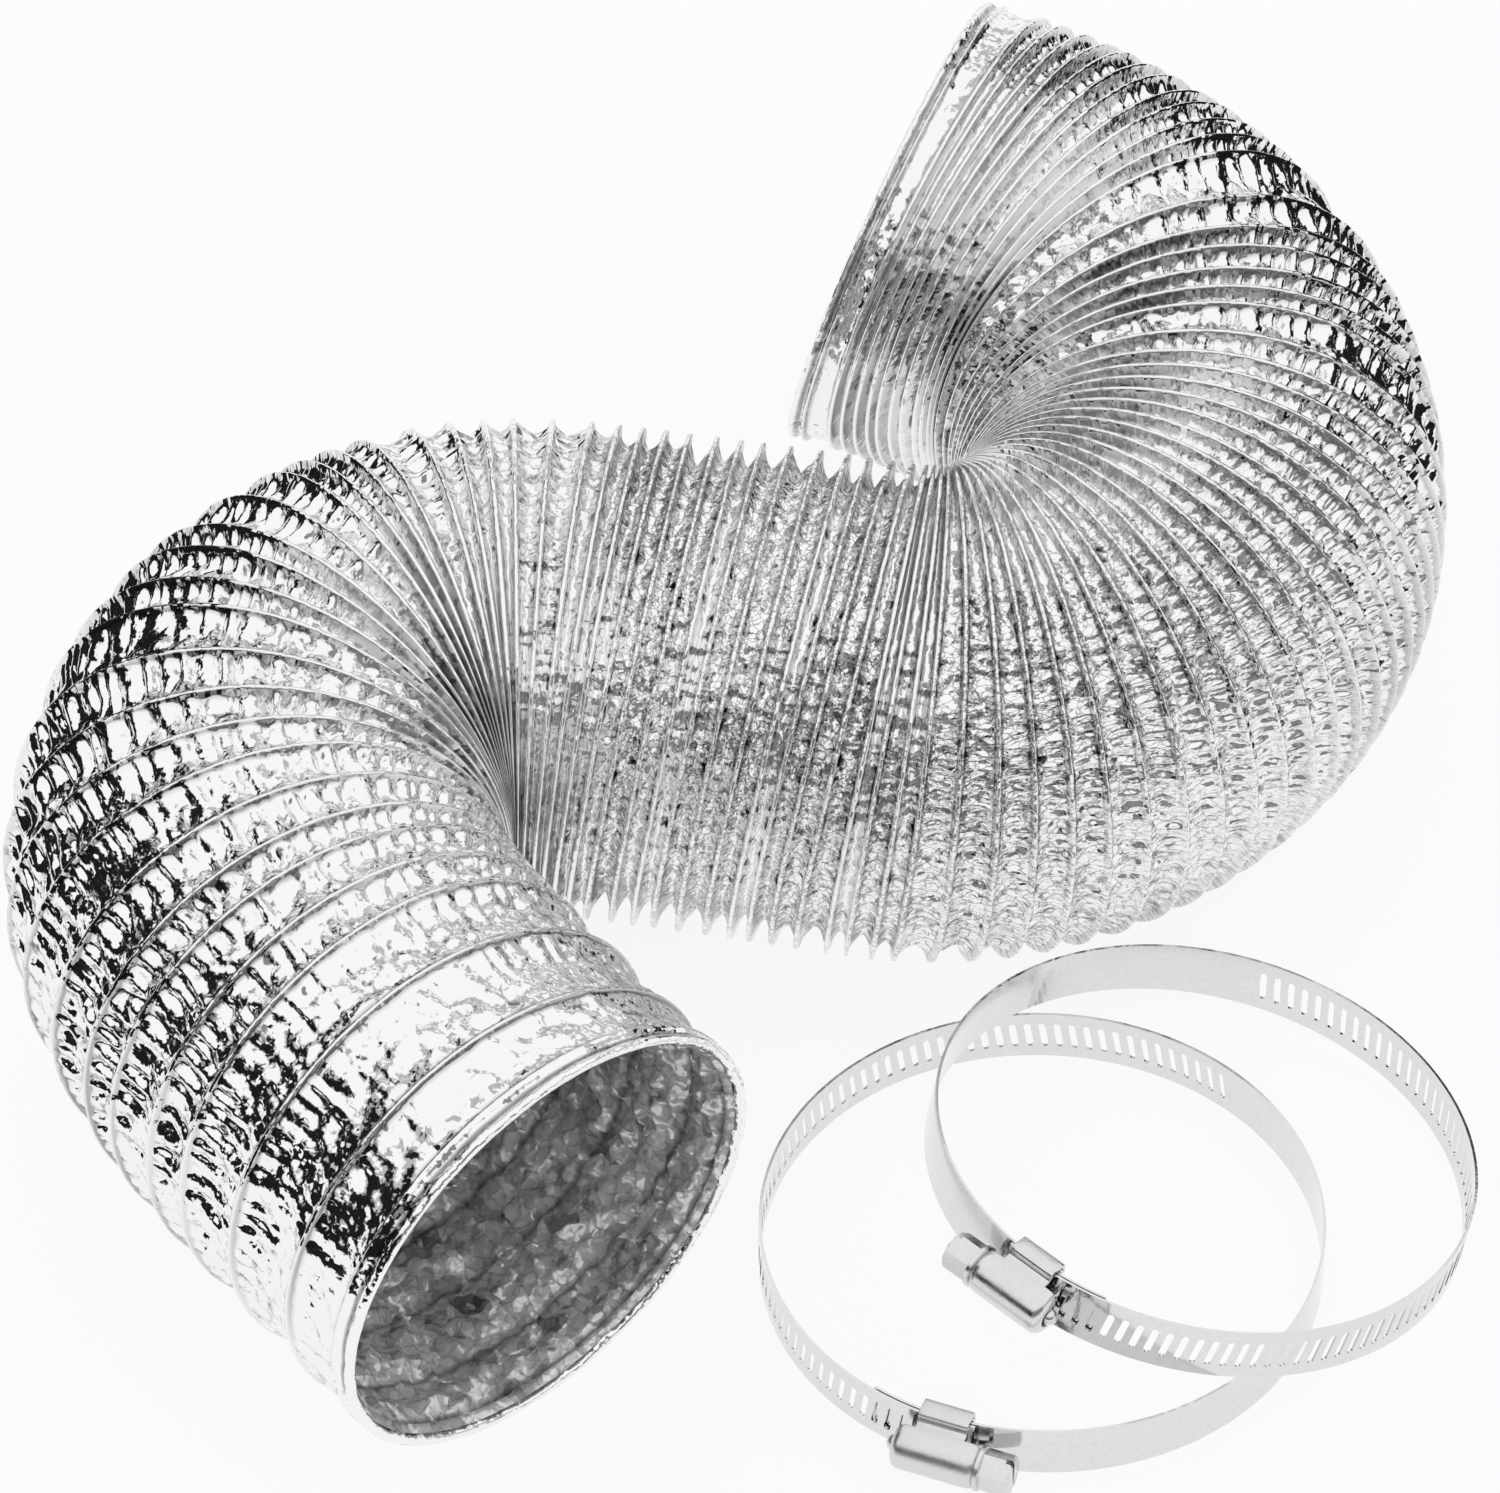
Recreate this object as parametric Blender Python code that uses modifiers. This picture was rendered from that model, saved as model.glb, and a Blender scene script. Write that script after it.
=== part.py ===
"""Flexible foil air duct, squeezed together and laid down in an S, with its two worm-drive clamps.

The duct is an outer foil sleeve and an inner foil liner with a spring-steel wire wound between
them. It stands on z = 0 and runs in plan from the front mouth, round the left bend, along the
middle and round the right bend to the rear mouth. Lengths are in metres and angles in degrees.
"""
import math
from collections import namedtuple

import bmesh
import bpy
import numpy as np
from mathutils import Matrix, Vector

MM = 0.001

# Duct wall, from the inside out
BORE = 101.6 * MM                # nominal 4 inch
LINER = 0.7 * MM
WIRE = 1.2 * MM
SLEEVE = 0.7 * MM
GAP = 0.3 * MM                   # between pieces that touch
RIDGE = BORE / 2 + LINER + GAP + WIRE + GAP + SLEEVE
SMOOTH_FOLD = WIRE + GAP         # how far the foil sinks where it lies on the liner
LOW_FOLD = 3.2 * MM              # ... between ribs that stand apart
FOLD = 4.6 * MM                  # ... between ribs in the bends
HIGH_FOLD = 8.0 * MM             # ... between ribs that are pushed together
FLOOR_FLAT = 0.5 * MM            # depth of the flats that the ridges stand on
AXIS_HEIGHT = RIDGE - FLOOR_FLAT
SIDES = 16
FOIL_SMOOTH = 60.0               # angle up to which the foil is shaded smooth
WELD = 0.001 * MM

# Rim: the foil turned in over the last turn of the wire
RIM_LENGTH = 3.8 * MM
RIM_POCKET = 2.2 * MM
RIM_CORNER = 0.8 * MM
WIRE_OPENING = 0.35              # from the lowest corner to each end of a rim wire, in sides

# Route in plan, from the front mouth. Each stretch: its part of the length, its turn (positive
# to the left), its ribs and the depth of its folds
PRESSED_LENGTH = 528.0 * MM      # along the middle, as the duct lies
Stretch = namedtuple("Stretch", "part turn ribs fold")
SECTIONS = {
    "front_cuff": [Stretch(9, 0, 1, SMOOTH_FOLD)],
    "front_bellows": [Stretch(38, 0, 2, LOW_FOLD)],
    "front_limb": [Stretch(13, -1, 1, LOW_FOLD), Stretch(44, -16, 4, LOW_FOLD)],
    "left_bend_start": [Stretch(49, -48, 5, FOLD)],
    "left_bend_end": [Stretch(33, -32, 5, FOLD), Stretch(39.5, -38, 9, FOLD)],
    "middle": [Stretch(71, -4, 12, HIGH_FOLD)],
    "right_bend_start": [Stretch(51, 50, 13, FOLD)],
    "right_bend_middle": [Stretch(46, 38, 11, FOLD)],
    "right_bend_end": [Stretch(58, 47, 8, FOLD)],
    "rear_limb": [Stretch(20, 10, 3, FOLD)],
    "rear_bellows": [Stretch(45, 21, 9, FOLD)],
    "rear_cuff": [Stretch(11.5, 6, 1, SMOOTH_FOLD)],
}
FRONT_MOUTH = Vector((-37.84 * MM, -163.08 * MM))
FRONT_HEADING = 130.2
HEADING_BLEND = 12 * MM          # half the length over which the bends run into each other
HEADING_SAMPLES = 9
FRONT_LEAN = -4.8                # the front mouth faces a little down
REAR_LEAN = 11.0                 # the rear mouth faces a little up
BORE_STEP_TURN = 30.0            # the most that a bend's bore turns from ring to ring

# Clamps, as sold for a 4 inch duct and standing open
BAND_WIDTH = 12.7 * MM
BAND = 0.6 * MM
SLOT_PITCH = 3.175 * MM
SLOT_LENGTH = 7.0 * MM
SLOT_WIDTH = 1.4 * MM
SLOT_SLANT = 9.0
PLAIN_STEP = 5.0 * MM            # facet length where the band has no slots
SCREW_RADIUS = 3.9 * MM
SCREW_LENGTH = 15.0 * MM
SCREW_SIDES = 20
SCREW_CHAMFER = 0.5 * MM
NECK_RADIUS = 3.0 * MM
COLLAR_RADIUS = 5.0 * MM
COLLAR = 1.2 * MM
HEAD_ACROSS = 7.94 * MM          # 5/16 inch hexagon
HEAD_LENGTH = 6.5 * MM
HEAD_SLOT = 1.2 * MM
HEAD_SLOT_DEPTH = 1.6 * MM
TIP_RADIUS = 1.8 * MM
TIP_LENGTH = 3.2 * MM
SCREW_PLAY = 0.35 * MM           # round the worm, inside the barrel
PLATE = 0.8 * MM                 # sheet of the housing
BARREL_LENGTH = 18.0 * MM
BARREL_FACETS = 10
SHOULDER_RISE = 0.9 * MM         # from the housing's shoulders up to its barrel
FLANGE_LENGTH = 11.0 * MM
SADDLE = 1.0 * MM
SADDLE_LENGTH = 12.0 * MM
SADDLE_FACETS = 6
LIP = 2.6 * MM                   # how far the housing is folded under the saddle
EDGE_PLAY = 0.4 * MM             # beside the band, inside the housing
TONGUE = 8.0 * MM                # plain end of the band, past the housing
TAIL = 6.5 * MM                  # slotted end of the band, past the screw's middle

FRONT_CLAMP_DIAMETER = 121.0 * MM
REAR_CLAMP_DIAMETER = 118.5 * MM
Clamp = namedtuple("Clamp", "name diameter slotted_turn housing_at flipped")
FRONT_CLAMP = Clamp("front_clamp", FRONT_CLAMP_DIAMETER, 207.0, -111.0, False)
REAR_CLAMP = Clamp("rear_clamp", REAR_CLAMP_DIAMETER, 212.0, -130.5, True)
FRONT_CLAMP_AT = Vector((64.86 * MM, -120.88 * MM))
REAR_CLAMP_STEP = Vector((33.5 * MM, 14.0 * MM))     # from the front clamp's centre


# ---------------------------------------------------------------- scene and materials

def clear_scene():
    for item in list(bpy.data.objects):
        bpy.data.objects.remove(item, do_unlink=True)


def new_collection(name):
    collection = bpy.data.collections.new(name)
    bpy.context.scene.collection.children.link(collection)
    return collection


def material(name, colour, roughness, metallic=1.0):
    found = bpy.data.materials.new(name)
    found.use_nodes = True
    shader = found.node_tree.nodes["Principled BSDF"]
    shader.inputs["Base Color"].default_value = (*colour, 1.0)
    shader.inputs["Roughness"].default_value = roughness
    shader.inputs["Metallic"].default_value = metallic
    return found


def add_object(name, data, collection, surface=None):
    item = bpy.data.objects.new(name, data)
    collection.objects.link(item)
    if surface is not None:
        data.materials.append(surface)
    return item


def finish_mesh(bm, name, smooth_angle=35.0):
    """Turns a bmesh into a mesh with outward faces, shaded smooth up to an angle."""
    bmesh.ops.recalc_face_normals(bm, faces=bm.faces)
    mesh = bpy.data.meshes.new(name)
    bm.to_mesh(mesh)
    bm.free()
    mesh.shade_smooth()
    mesh.set_sharp_from_angle(angle=math.radians(smooth_angle))
    return mesh


def hide_cutter(item):
    item.hide_render = True
    item.display_type = "WIRE"


def boolean(item, cutter, operation):
    step = item.modifiers.new(operation.lower(), "BOOLEAN")
    step.operation = operation
    step.solver = "EXACT"
    step.object = cutter
    hide_cutter(cutter)


# ---------------------------------------------------------------- the duct's route

def all_stretches():
    return [stretch for section in SECTIONS.values() for stretch in section]


TOTAL_PARTS = sum(stretch.part for stretch in all_stretches())


def stretch_length(stretch):
    return PRESSED_LENGTH * stretch.part / TOTAL_PARTS


KNOTS = np.concatenate([[0.0], np.cumsum([stretch_length(s) for s in all_stretches()])])
KNOT_HEADINGS = FRONT_HEADING + np.concatenate([[0.0], np.cumsum([s.turn for s in all_stretches()])])
FOLD_STATIONS = (KNOTS[:-1] + KNOTS[1:]) / 2
FOLD_DEPTHS = [stretch.fold for stretch in all_stretches()]
ROUTE_STEPS = np.linspace(0.0, PRESSED_LENGTH, 1 + round(PRESSED_LENGTH / MM))


def heading(station):
    """Direction of travel in plan, with the bends run into each other."""
    window = station + HEADING_BLEND * np.linspace(-1, 1, HEADING_SAMPLES)
    return float(np.mean(np.interp(window, KNOTS, KNOT_HEADINGS)))


def route_points():
    """Centreline in plan, a point a millimetre, found by following the heading."""
    headings = np.radians([heading(station) for station in ROUTE_STEPS])
    steps = np.stack([np.cos(headings), np.sin(headings)], axis=1)
    travel = (steps[1:] + steps[:-1]) / 2 * np.diff(ROUTE_STEPS)[:, None]
    return np.vstack([[0.0, 0.0], np.cumsum(travel, axis=0)]) + np.array(FRONT_MOUTH)


ROUTE = route_points()


def section_ends(name):
    names = list(SECTIONS)
    first = sum(len(SECTIONS[other]) for other in names[:names.index(name)])
    return KNOTS[first], KNOTS[first + len(SECTIONS[name])]


def lean(station):
    """Tilt of the rings: none along the bends, and some towards the two mouths."""
    front_level = section_ends("front_bellows")[1]
    rear_level = section_ends("rear_limb")[0]
    return float(np.interp(station, [0, front_level, rear_level, PRESSED_LENGTH],
                           [FRONT_LEAN, 0, 0, REAR_LEAN]))


def section_frame(station, shift=0.0):
    """Frame of a section: X across, Y up, Z along the route, moved by shift along it."""
    angle = math.radians(heading(station))
    forward = Vector((math.cos(angle), math.sin(angle), 0))
    tilt = math.radians(lean(station))
    up = math.cos(tilt) * Vector((0, 0, 1)) - math.sin(tilt) * forward
    along = math.cos(tilt) * forward + math.sin(tilt) * Vector((0, 0, 1))
    across = up.cross(along)
    centre = Vector((np.interp(station, ROUTE_STEPS, ROUTE[:, 0]),
                     np.interp(station, ROUTE_STEPS, ROUTE[:, 1]), AXIS_HEIGHT))
    frame = Matrix((across, up, along)).transposed().to_4x4()
    frame.translation = centre + shift * along
    return frame


def fold(station):
    return float(np.interp(station, FOLD_STATIONS, FOLD_DEPTHS))


def valley_radius(station):
    return RIDGE - fold(station)


def sleeve_bore(station):
    return valley_radius(station) - SLEEVE


def liner_radius(station):
    return sleeve_bore(station) - GAP


# ---------------------------------------------------------------- the duct's pieces

Ring = namedtuple("Ring", "station radius shift", defaults=(0.0,))


def ring_points(ring):
    """Corners of a ring, from the lowest one round."""
    frame = section_frame(ring.station, ring.shift)
    angles = np.linspace(0, 2 * math.pi, SIDES, endpoint=False) - math.pi / 2
    return [frame @ Vector((ring.radius * math.cos(a), ring.radius * math.sin(a), 0))
            for a in angles]


def loft_closed(rings):
    """Skin over a loop of rings: out along the outside, back along the inside."""
    bm = bmesh.new()
    loops = [[bm.verts.new(point) for point in ring_points(ring)] for ring in rings]
    for near, far in zip(loops, loops[1:] + loops[:1]):
        for i in range(SIDES):
            j = (i + 1) % SIDES
            bm.faces.new((near[i], near[j], far[j], far[i]))
    return bm


def cut_floor_flats(bm):
    """Cuts away what reaches below the floor and closes each cut with a flat face."""
    cut = bmesh.ops.bisect_plane(bm, geom=bm.verts[:] + bm.edges[:] + bm.faces[:],
                                 dist=WELD, plane_co=(0, 0, 0), plane_no=(0, 0, 1),
                                 clear_inner=True)
    edges = [item for item in cut["geom_cut"] if isinstance(item, bmesh.types.BMEdge)]
    bmesh.ops.holes_fill(bm, edges=edges, sides=0)


def end_shifts(name):
    """Half a gap at each border between two sections, none at the mouths."""
    first, *_, last = SECTIONS
    return (0.0 if name == first else GAP / 2), (0.0 if name == last else -GAP / 2)


def bore_rings(name, radius):
    """Plain rings along a section, a few to each bend, for its inside."""
    start, end = section_ends(name)
    start_shift, end_shift = end_shifts(name)
    stations = [start]
    for stretch in SECTIONS[name]:
        steps = 2 * max(1, math.ceil(abs(stretch.turn) / BORE_STEP_TURN))
        begin = stations[-1]
        length = stretch_length(stretch)
        stations += [begin + length * i / steps for i in range(1, steps + 1)]
    rings = [Ring(station, radius(station)) for station in stations[1:-1]]
    return ([Ring(start, radius(start), start_shift)] + rings
            + [Ring(end, radius(end), end_shift)])


def ribbed_rings(name):
    """A ridge and a valley for each turn of the wire, starting and ending in a valley."""
    start, end = section_ends(name)
    start_shift, end_shift = end_shifts(name)
    rings = []
    begin = start
    for stretch in SECTIONS[name]:
        pitch = stretch_length(stretch) / stretch.ribs
        for rib in range(stretch.ribs):
            low = begin + rib * pitch
            rings.append(Ring(low, valley_radius(low), start_shift if low == start else 0.0))
            rings.append(Ring(low + pitch / 2, RIDGE))
        begin += stretch_length(stretch)
    return rings + [Ring(end, valley_radius(end), end_shift)]


def cuff_rings(name):
    """Outside and inside of a cuff: the rim with its pocket for the wire, then smooth foil."""
    start, end = section_ends(name)
    mouth, inward = (start, 1) if start == 0 else (end, -1)
    smooth = RIDGE - SMOOTH_FOLD
    pocket_end = (RIM_LENGTH + RIM_POCKET) / 2
    outside = [Ring(mouth, RIDGE - RIM_CORNER),
               Ring(mouth + inward * RIM_CORNER, RIDGE),
               Ring(mouth + inward * (RIM_LENGTH - RIM_CORNER / 2), RIDGE),
               Ring(mouth + inward * (RIM_LENGTH + RIM_CORNER), smooth)]
    inside = [Ring(mouth, smooth - SLEEVE),
              Ring(mouth + inward * (pocket_end - RIM_POCKET), RIDGE - SLEEVE),
              Ring(mouth + inward * pocket_end, RIDGE - SLEEVE),
              Ring(mouth + inward * RIM_LENGTH, smooth - SLEEVE)]
    for rings, radius in ((outside, valley_radius), (inside, sleeve_bore)):
        rings += [ring for ring in bore_rings(name, radius)[::inward]
                  if abs(ring.station - mouth) > RIM_LENGTH + RIM_CORNER]
    return outside, inside


def make_sleeve(name, collection, surface):
    """One section of the outer foil: ribbed outside, plain inside, flat where it stands."""
    if name.endswith("cuff"):
        outside, inside = cuff_rings(name)
    else:
        outside = ribbed_rings(name)
        inside = bore_rings(name, sleeve_bore)
    bm = loft_closed(outside + inside[::-1])
    cut_floor_flats(bm)
    mesh = finish_mesh(bm, "outer_sleeve_" + name, FOIL_SMOOTH)
    return add_object(mesh.name, mesh, collection, surface)


def make_liner(name, collection, surface):
    """One section of the inner foil, a plain tube inside the sleeve."""
    outside = bore_rings(name, liner_radius)
    inside = bore_rings(name, lambda station: liner_radius(station) - LINER)
    mesh = finish_mesh(loft_closed(outside + inside[::-1]), "inner_liner_" + name)
    return add_object(mesh.name, mesh, collection, surface)


def make_rim_wire(name, station, collection, surface):
    """The wire's last turn, open at the foot, in the rim's pocket between sleeve and liner."""
    corners = ring_points(Ring(station, BORE / 2 + LINER + GAP + WIRE / 2))
    places = ([corners[0].lerp(corners[1], WIRE_OPENING)] + corners[1:]
              + [corners[0].lerp(corners[-1], WIRE_OPENING)])
    curve = bpy.data.curves.new(name, "CURVE")
    curve.dimensions = "3D"
    curve.bevel_depth = WIRE / 2
    curve.bevel_resolution = 1
    curve.use_fill_caps = True
    spline = curve.splines.new("POLY")
    spline.points.add(len(places) - 1)
    for point, place in zip(spline.points, places):
        point.co = (*place, 1.0)
    return add_object(name, curve, collection, surface)


def make_duct(collection, outer_foil, inner_foil, steel):
    for name in SECTIONS:
        make_sleeve(name, collection, outer_foil)
        make_liner(name, collection, inner_foil)
    wire_depth = RIM_LENGTH / 2
    make_rim_wire("rim_wire_front", wire_depth, collection, steel)
    make_rim_wire("rim_wire_rear", PRESSED_LENGTH - wire_depth, collection, steel)


# ---------------------------------------------------------------- the clamps' pieces
# A clamp is built round its own Z axis, with its housing on +X. Pieces that follow the band are
# drawn flat, x along the band, y across it and z outwards, and then rolled up.

def inner_radius(clamp):
    return clamp.diameter / 2 - GAP - 2 * BAND


def roll_up(bm, clamp, depth):
    """Rolls a flat sheet round the clamp. One turn climbs by the band and a gap, to lap itself."""
    base = inner_radius(clamp)
    climb = (BAND + GAP) / (2 * math.pi)
    for vertex in bm.verts:
        angle = vertex.co.x / base
        radius = base + climb * angle + depth
        vertex.co = (radius * math.cos(angle), radius * math.sin(angle), vertex.co.y)


def slot_outline(centre_x):
    """A long slot with pointed ends, leaning a little along the band."""
    half = SLOT_LENGTH / 2 - SLOT_WIDTH / 2
    flat = [(-SLOT_WIDTH / 2, -half), (0, -SLOT_LENGTH / 2), (SLOT_WIDTH / 2, -half),
            (SLOT_WIDTH / 2, half), (0, SLOT_LENGTH / 2), (-SLOT_WIDTH / 2, half)]
    turn = math.radians(SLOT_SLANT)
    return [(centre_x + x * math.cos(turn) + y * math.sin(turn),
             -x * math.sin(turn) + y * math.cos(turn)) for x, y in flat]


def outline_edges(bm, points):
    corners = [bm.verts.new((x, y, 0)) for x, y in points]
    return [bm.edges.new(pair) for pair in zip(corners, corners[1:] + corners[:1])]


def flat_sheet(stations, width, slotted_from):
    """A flat sheet in cells from station to station, each with a slot from slotted_from on."""
    bm = bmesh.new()
    for left, right in zip(stations, stations[1:]):
        edges = outline_edges(bm, [(left, -width / 2), (right, -width / 2),
                                   (right, width / 2), (left, width / 2)])
        if slotted_from <= left and right < stations[-1]:
            edges += outline_edges(bm, slot_outline((left + right) / 2))
        bmesh.ops.triangle_fill(bm, use_beauty=True, edges=edges)
    bmesh.ops.remove_doubles(bm, verts=bm.verts, dist=WELD)
    return bm


def rolled_sheet(name, bm, clamp, depth, thickness, collection, surface):
    """Rolls up a flat sheet, its middle at a depth from the band's inner face, and thickens it."""
    roll_up(bm, clamp, depth)
    item = add_object(name, finish_mesh(bm, name), collection, surface)
    solid = item.modifiers.new("sheet", "SOLIDIFY")
    solid.thickness = thickness
    solid.offset = 0.0
    return item


def make_band(clamp, collection, surface):
    """The band: a tongue under the housing, a plain half, and the slotted end over the tongue."""
    around = 2 * math.pi * inner_radius(clamp)
    start = -(BARREL_LENGTH / 2 + TONGUE)
    end = around + TAIL
    slots = round(around * clamp.slotted_turn / 360 / SLOT_PITCH)
    first_slot = end - (slots + 0.5) * SLOT_PITCH
    plain = max(1, round((first_slot - start) / PLAIN_STEP))
    stations = [start + (first_slot - start) * i / plain for i in range(plain)]
    stations += [first_slot + i * SLOT_PITCH for i in range(slots + 1)] + [end]
    return rolled_sheet(clamp.name + "_band", flat_sheet(stations, BAND_WIDTH, first_slot),
                        clamp, BAND / 2, BAND, collection, surface)


def make_saddle(clamp, collection, surface):
    """The plate under the band that the housing is folded round."""
    stations = [SADDLE_LENGTH * (i / SADDLE_FACETS - 0.5) for i in range(SADDLE_FACETS + 1)]
    return rolled_sheet(clamp.name + "_saddle", flat_sheet(stations, BAND_WIDTH, math.inf),
                        clamp, -GAP - SADDLE / 2, SADDLE, collection, surface)


def screw_height():
    """The screw's axis above the band's inner face: the worm clears the lapped band."""
    return 2 * BAND + 2 * GAP + SCREW_RADIUS


def housing_foot(clamp):
    """Height of the lips' middle line: just under the saddle's ends, which the ring draws down."""
    fall = (SADDLE_LENGTH / 2) ** 2 / (2 * inner_radius(clamp))
    return -(SADDLE + 2 * GAP + fall + PLATE / 2)


def housing_profile(clamp):
    """Middle line of the housing's sheet, across the band: lip, leg, shoulder and half barrel."""
    barrel = SCREW_RADIUS + SCREW_PLAY + PLATE / 2
    leg = BAND_WIDTH / 2 + EDGE_PLAY + PLATE / 2
    foot = housing_foot(clamp)
    shoulder = 2 * BAND + 2 * GAP + PLATE / 2
    arc = np.linspace(0, math.pi, BARREL_FACETS + 1)
    side = [(leg - LIP, foot), (leg, foot), (leg, shoulder), (barrel, shoulder + SHOULDER_RISE)]
    top = [(barrel * math.cos(a), screw_height() + barrel * math.sin(a)) for a in arc]
    return side + top + [(-y, z) for y, z in reversed(side)]


def extruded_sheet(name, profile, length):
    """A folded sheet: the profile in the Y-Z plane, drawn out to both sides along X."""
    bm = bmesh.new()
    rows = [[bm.verts.new((x, y, z)) for y, z in profile] for x in (-length / 2, length / 2)]
    for i in range(len(profile) - 1):
        bm.faces.new((rows[0][i], rows[0][i + 1], rows[1][i + 1], rows[1][i]))
    return finish_mesh(bm, name)


def block(name, low, high, cutters):
    bm = bmesh.new()
    bmesh.ops.create_cube(bm, size=1.0)
    size = Vector(high) - Vector(low)
    middle = (Vector(high) + Vector(low)) / 2
    bmesh.ops.transform(bm, matrix=Matrix.Translation(middle) @ Matrix.Diagonal((*size, 1)),
                        verts=bm.verts)
    return add_object(name, finish_mesh(bm, name), cutters)


def turned(name, profile, steps, collection, closed=False):
    """A solid turned round X from (x, radius) points, by the Screw modifier."""
    mesh = bpy.data.meshes.new(name)
    points = [(0.0, radius, x) for x, radius in profile]
    edges = [(i, (i + 1) % len(points)) for i in range(len(points) - (0 if closed else 1))]
    mesh.from_pydata(points, edges, [])
    item = add_object(name, mesh, collection)
    item.rotation_euler = (0, math.pi / 2, 0)
    screw = item.modifiers.new("turn", "SCREW")
    screw.steps = steps
    screw.render_steps = steps
    screw.use_merge_vertices = True
    screw.merge_threshold = 0.01 * MM
    screw.use_normal_calculate = True
    return item


def make_housing(clamp, collection, cutters, surface):
    """Sheet housing: a barrel round the screw on a shorter flange folded round the saddle."""
    name = clamp.name + "_housing"
    mesh = extruded_sheet(name, housing_profile(clamp), BARREL_LENGTH)
    housing = add_object(name, mesh, collection, surface)
    solid = housing.modifiers.new("sheet", "SOLIDIFY")
    solid.thickness = PLATE
    solid.offset = 0.0
    solid.use_even_offset = True
    below = housing_foot(clamp) - PLATE
    flange_top = screw_height() - SCREW_RADIUS / 2
    for side in (-1, 1):
        near = side * FLANGE_LENGTH / 2
        far = side * BARREL_LENGTH
        cutter = block(f"{name}_end_{side}", (min(near, far), -BAND_WIDTH, below),
                       (max(near, far), BAND_WIDTH, flange_top), cutters)
        boolean(housing, cutter, "DIFFERENCE")
        cutter.parent = housing
    wall_out = SCREW_RADIUS + SCREW_PLAY + PLATE / 2
    wall_in = TIP_RADIUS + SCREW_PLAY
    wall_at = -BARREL_LENGTH / 2
    wall = turned(name + "_end_wall", [(wall_at, wall_in), (wall_at, wall_out),
                                       (wall_at + PLATE, wall_out), (wall_at + PLATE, wall_in)],
                  2 * BARREL_FACETS, cutters, closed=True)
    wall.location.z = screw_height()
    boolean(housing, wall, "UNION")
    wall.parent = housing
    return housing


def make_screw(clamp, collection, cutters, surface):
    """Worm screw along X: tip, worm, neck, collar and slotted hexagon head."""
    name = clamp.name + "_screw"
    worm_start = -BARREL_LENGTH / 2 + PLATE + GAP
    worm_end = worm_start + SCREW_LENGTH
    collar_at = BARREL_LENGTH / 2 + GAP
    head_at = collar_at + COLLAR
    tip_at = worm_start - TIP_LENGTH
    screw = turned(name, [(tip_at, 0), (tip_at, TIP_RADIUS - SCREW_CHAMFER),
                          (tip_at + SCREW_CHAMFER, TIP_RADIUS), (worm_start, TIP_RADIUS),
                          (worm_start, SCREW_RADIUS - SCREW_CHAMFER),
                          (worm_start + SCREW_CHAMFER, SCREW_RADIUS), (worm_end, SCREW_RADIUS),
                          (worm_end, NECK_RADIUS), (collar_at, NECK_RADIUS),
                          (collar_at, COLLAR_RADIUS), (head_at, COLLAR_RADIUS), (head_at, 0)],
                   SCREW_SIDES, collection)
    screw.data.materials.append(surface)
    bm = bmesh.new()
    radius = HEAD_ACROSS / 2 / math.cos(math.pi / 6)
    overlap = COLLAR / 2
    turn = Matrix.Rotation(math.pi / 2, 4, "Y")
    middle = Matrix.Translation((head_at + (HEAD_LENGTH - overlap) / 2, 0, 0))
    bmesh.ops.create_cone(bm, cap_ends=True, segments=6, radius1=radius, radius2=radius,
                          depth=HEAD_LENGTH + overlap, matrix=middle @ turn)
    head = add_object(name + "_head", finish_mesh(bm, name + "_head"), cutters)
    end = head_at + HEAD_LENGTH
    slot = block(name + "_slot", (end - HEAD_SLOT_DEPTH, -HEAD_ACROSS, -HEAD_SLOT / 2),
                 (end + HEAD_SLOT_DEPTH, HEAD_ACROSS, HEAD_SLOT / 2), cutters)
    boolean(screw, head, "UNION")
    boolean(screw, slot, "DIFFERENCE")
    return screw, (head, slot)


def clamp_empty(name, matrix, collection, parent=None):
    item = add_object(name, None, collection)
    item.parent = parent
    item.matrix_world = matrix
    return item


def make_clamp(clamp, placement, collection, cutters, steel, plated):
    """Builds one clamp and sets it down by its placement, the frame of its ring's centre."""
    flip = Matrix.Rotation(math.pi, 4, "X") if clamp.flipped else Matrix.Identity(4)
    turn = Matrix.Rotation(math.radians(clamp.housing_at), 4, "Z")
    ring = clamp_empty(clamp.name, placement @ turn @ flip, collection)
    # At the housing: x along the band, y across it, z outwards.
    at_housing = Matrix(((0, 0, 1, inner_radius(clamp)), (1, 0, 0, 0), (0, 1, 0, 0), (0, 0, 0, 1)))
    seat = clamp_empty(clamp.name + "_seat", ring.matrix_world @ at_housing, collection, ring)
    axis_frame = seat.matrix_world @ Matrix.Translation((0, 0, screw_height()))
    axis = clamp_empty(clamp.name + "_screw_axis", axis_frame, collection, ring)
    for piece in (make_band(clamp, collection, steel), make_saddle(clamp, collection, steel)):
        piece.parent = ring
    make_housing(clamp, collection, cutters, plated).parent = seat
    screw, tools = make_screw(clamp, collection, cutters, plated)
    screw.parent = axis
    for tool in tools:
        tool.parent = axis


def lying_placement(clamp, centre):
    """Clamp on the floor: its housing stands out past the band, so the ring tips a little."""
    drop = EDGE_PLAY + PLATE
    reach = clamp.diameter
    tip = math.asin(drop / reach)
    height = BAND_WIDTH / 2 + drop / 2
    along = Vector((math.cos(math.radians(clamp.housing_at)),
                    math.sin(math.radians(clamp.housing_at)), 0))
    axis = along.cross(Vector((0, 0, 1)))
    return (Matrix.Translation((centre.x, centre.y, height + GAP / 2))
            @ Matrix.Rotation(tip, 4, axis))


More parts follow.
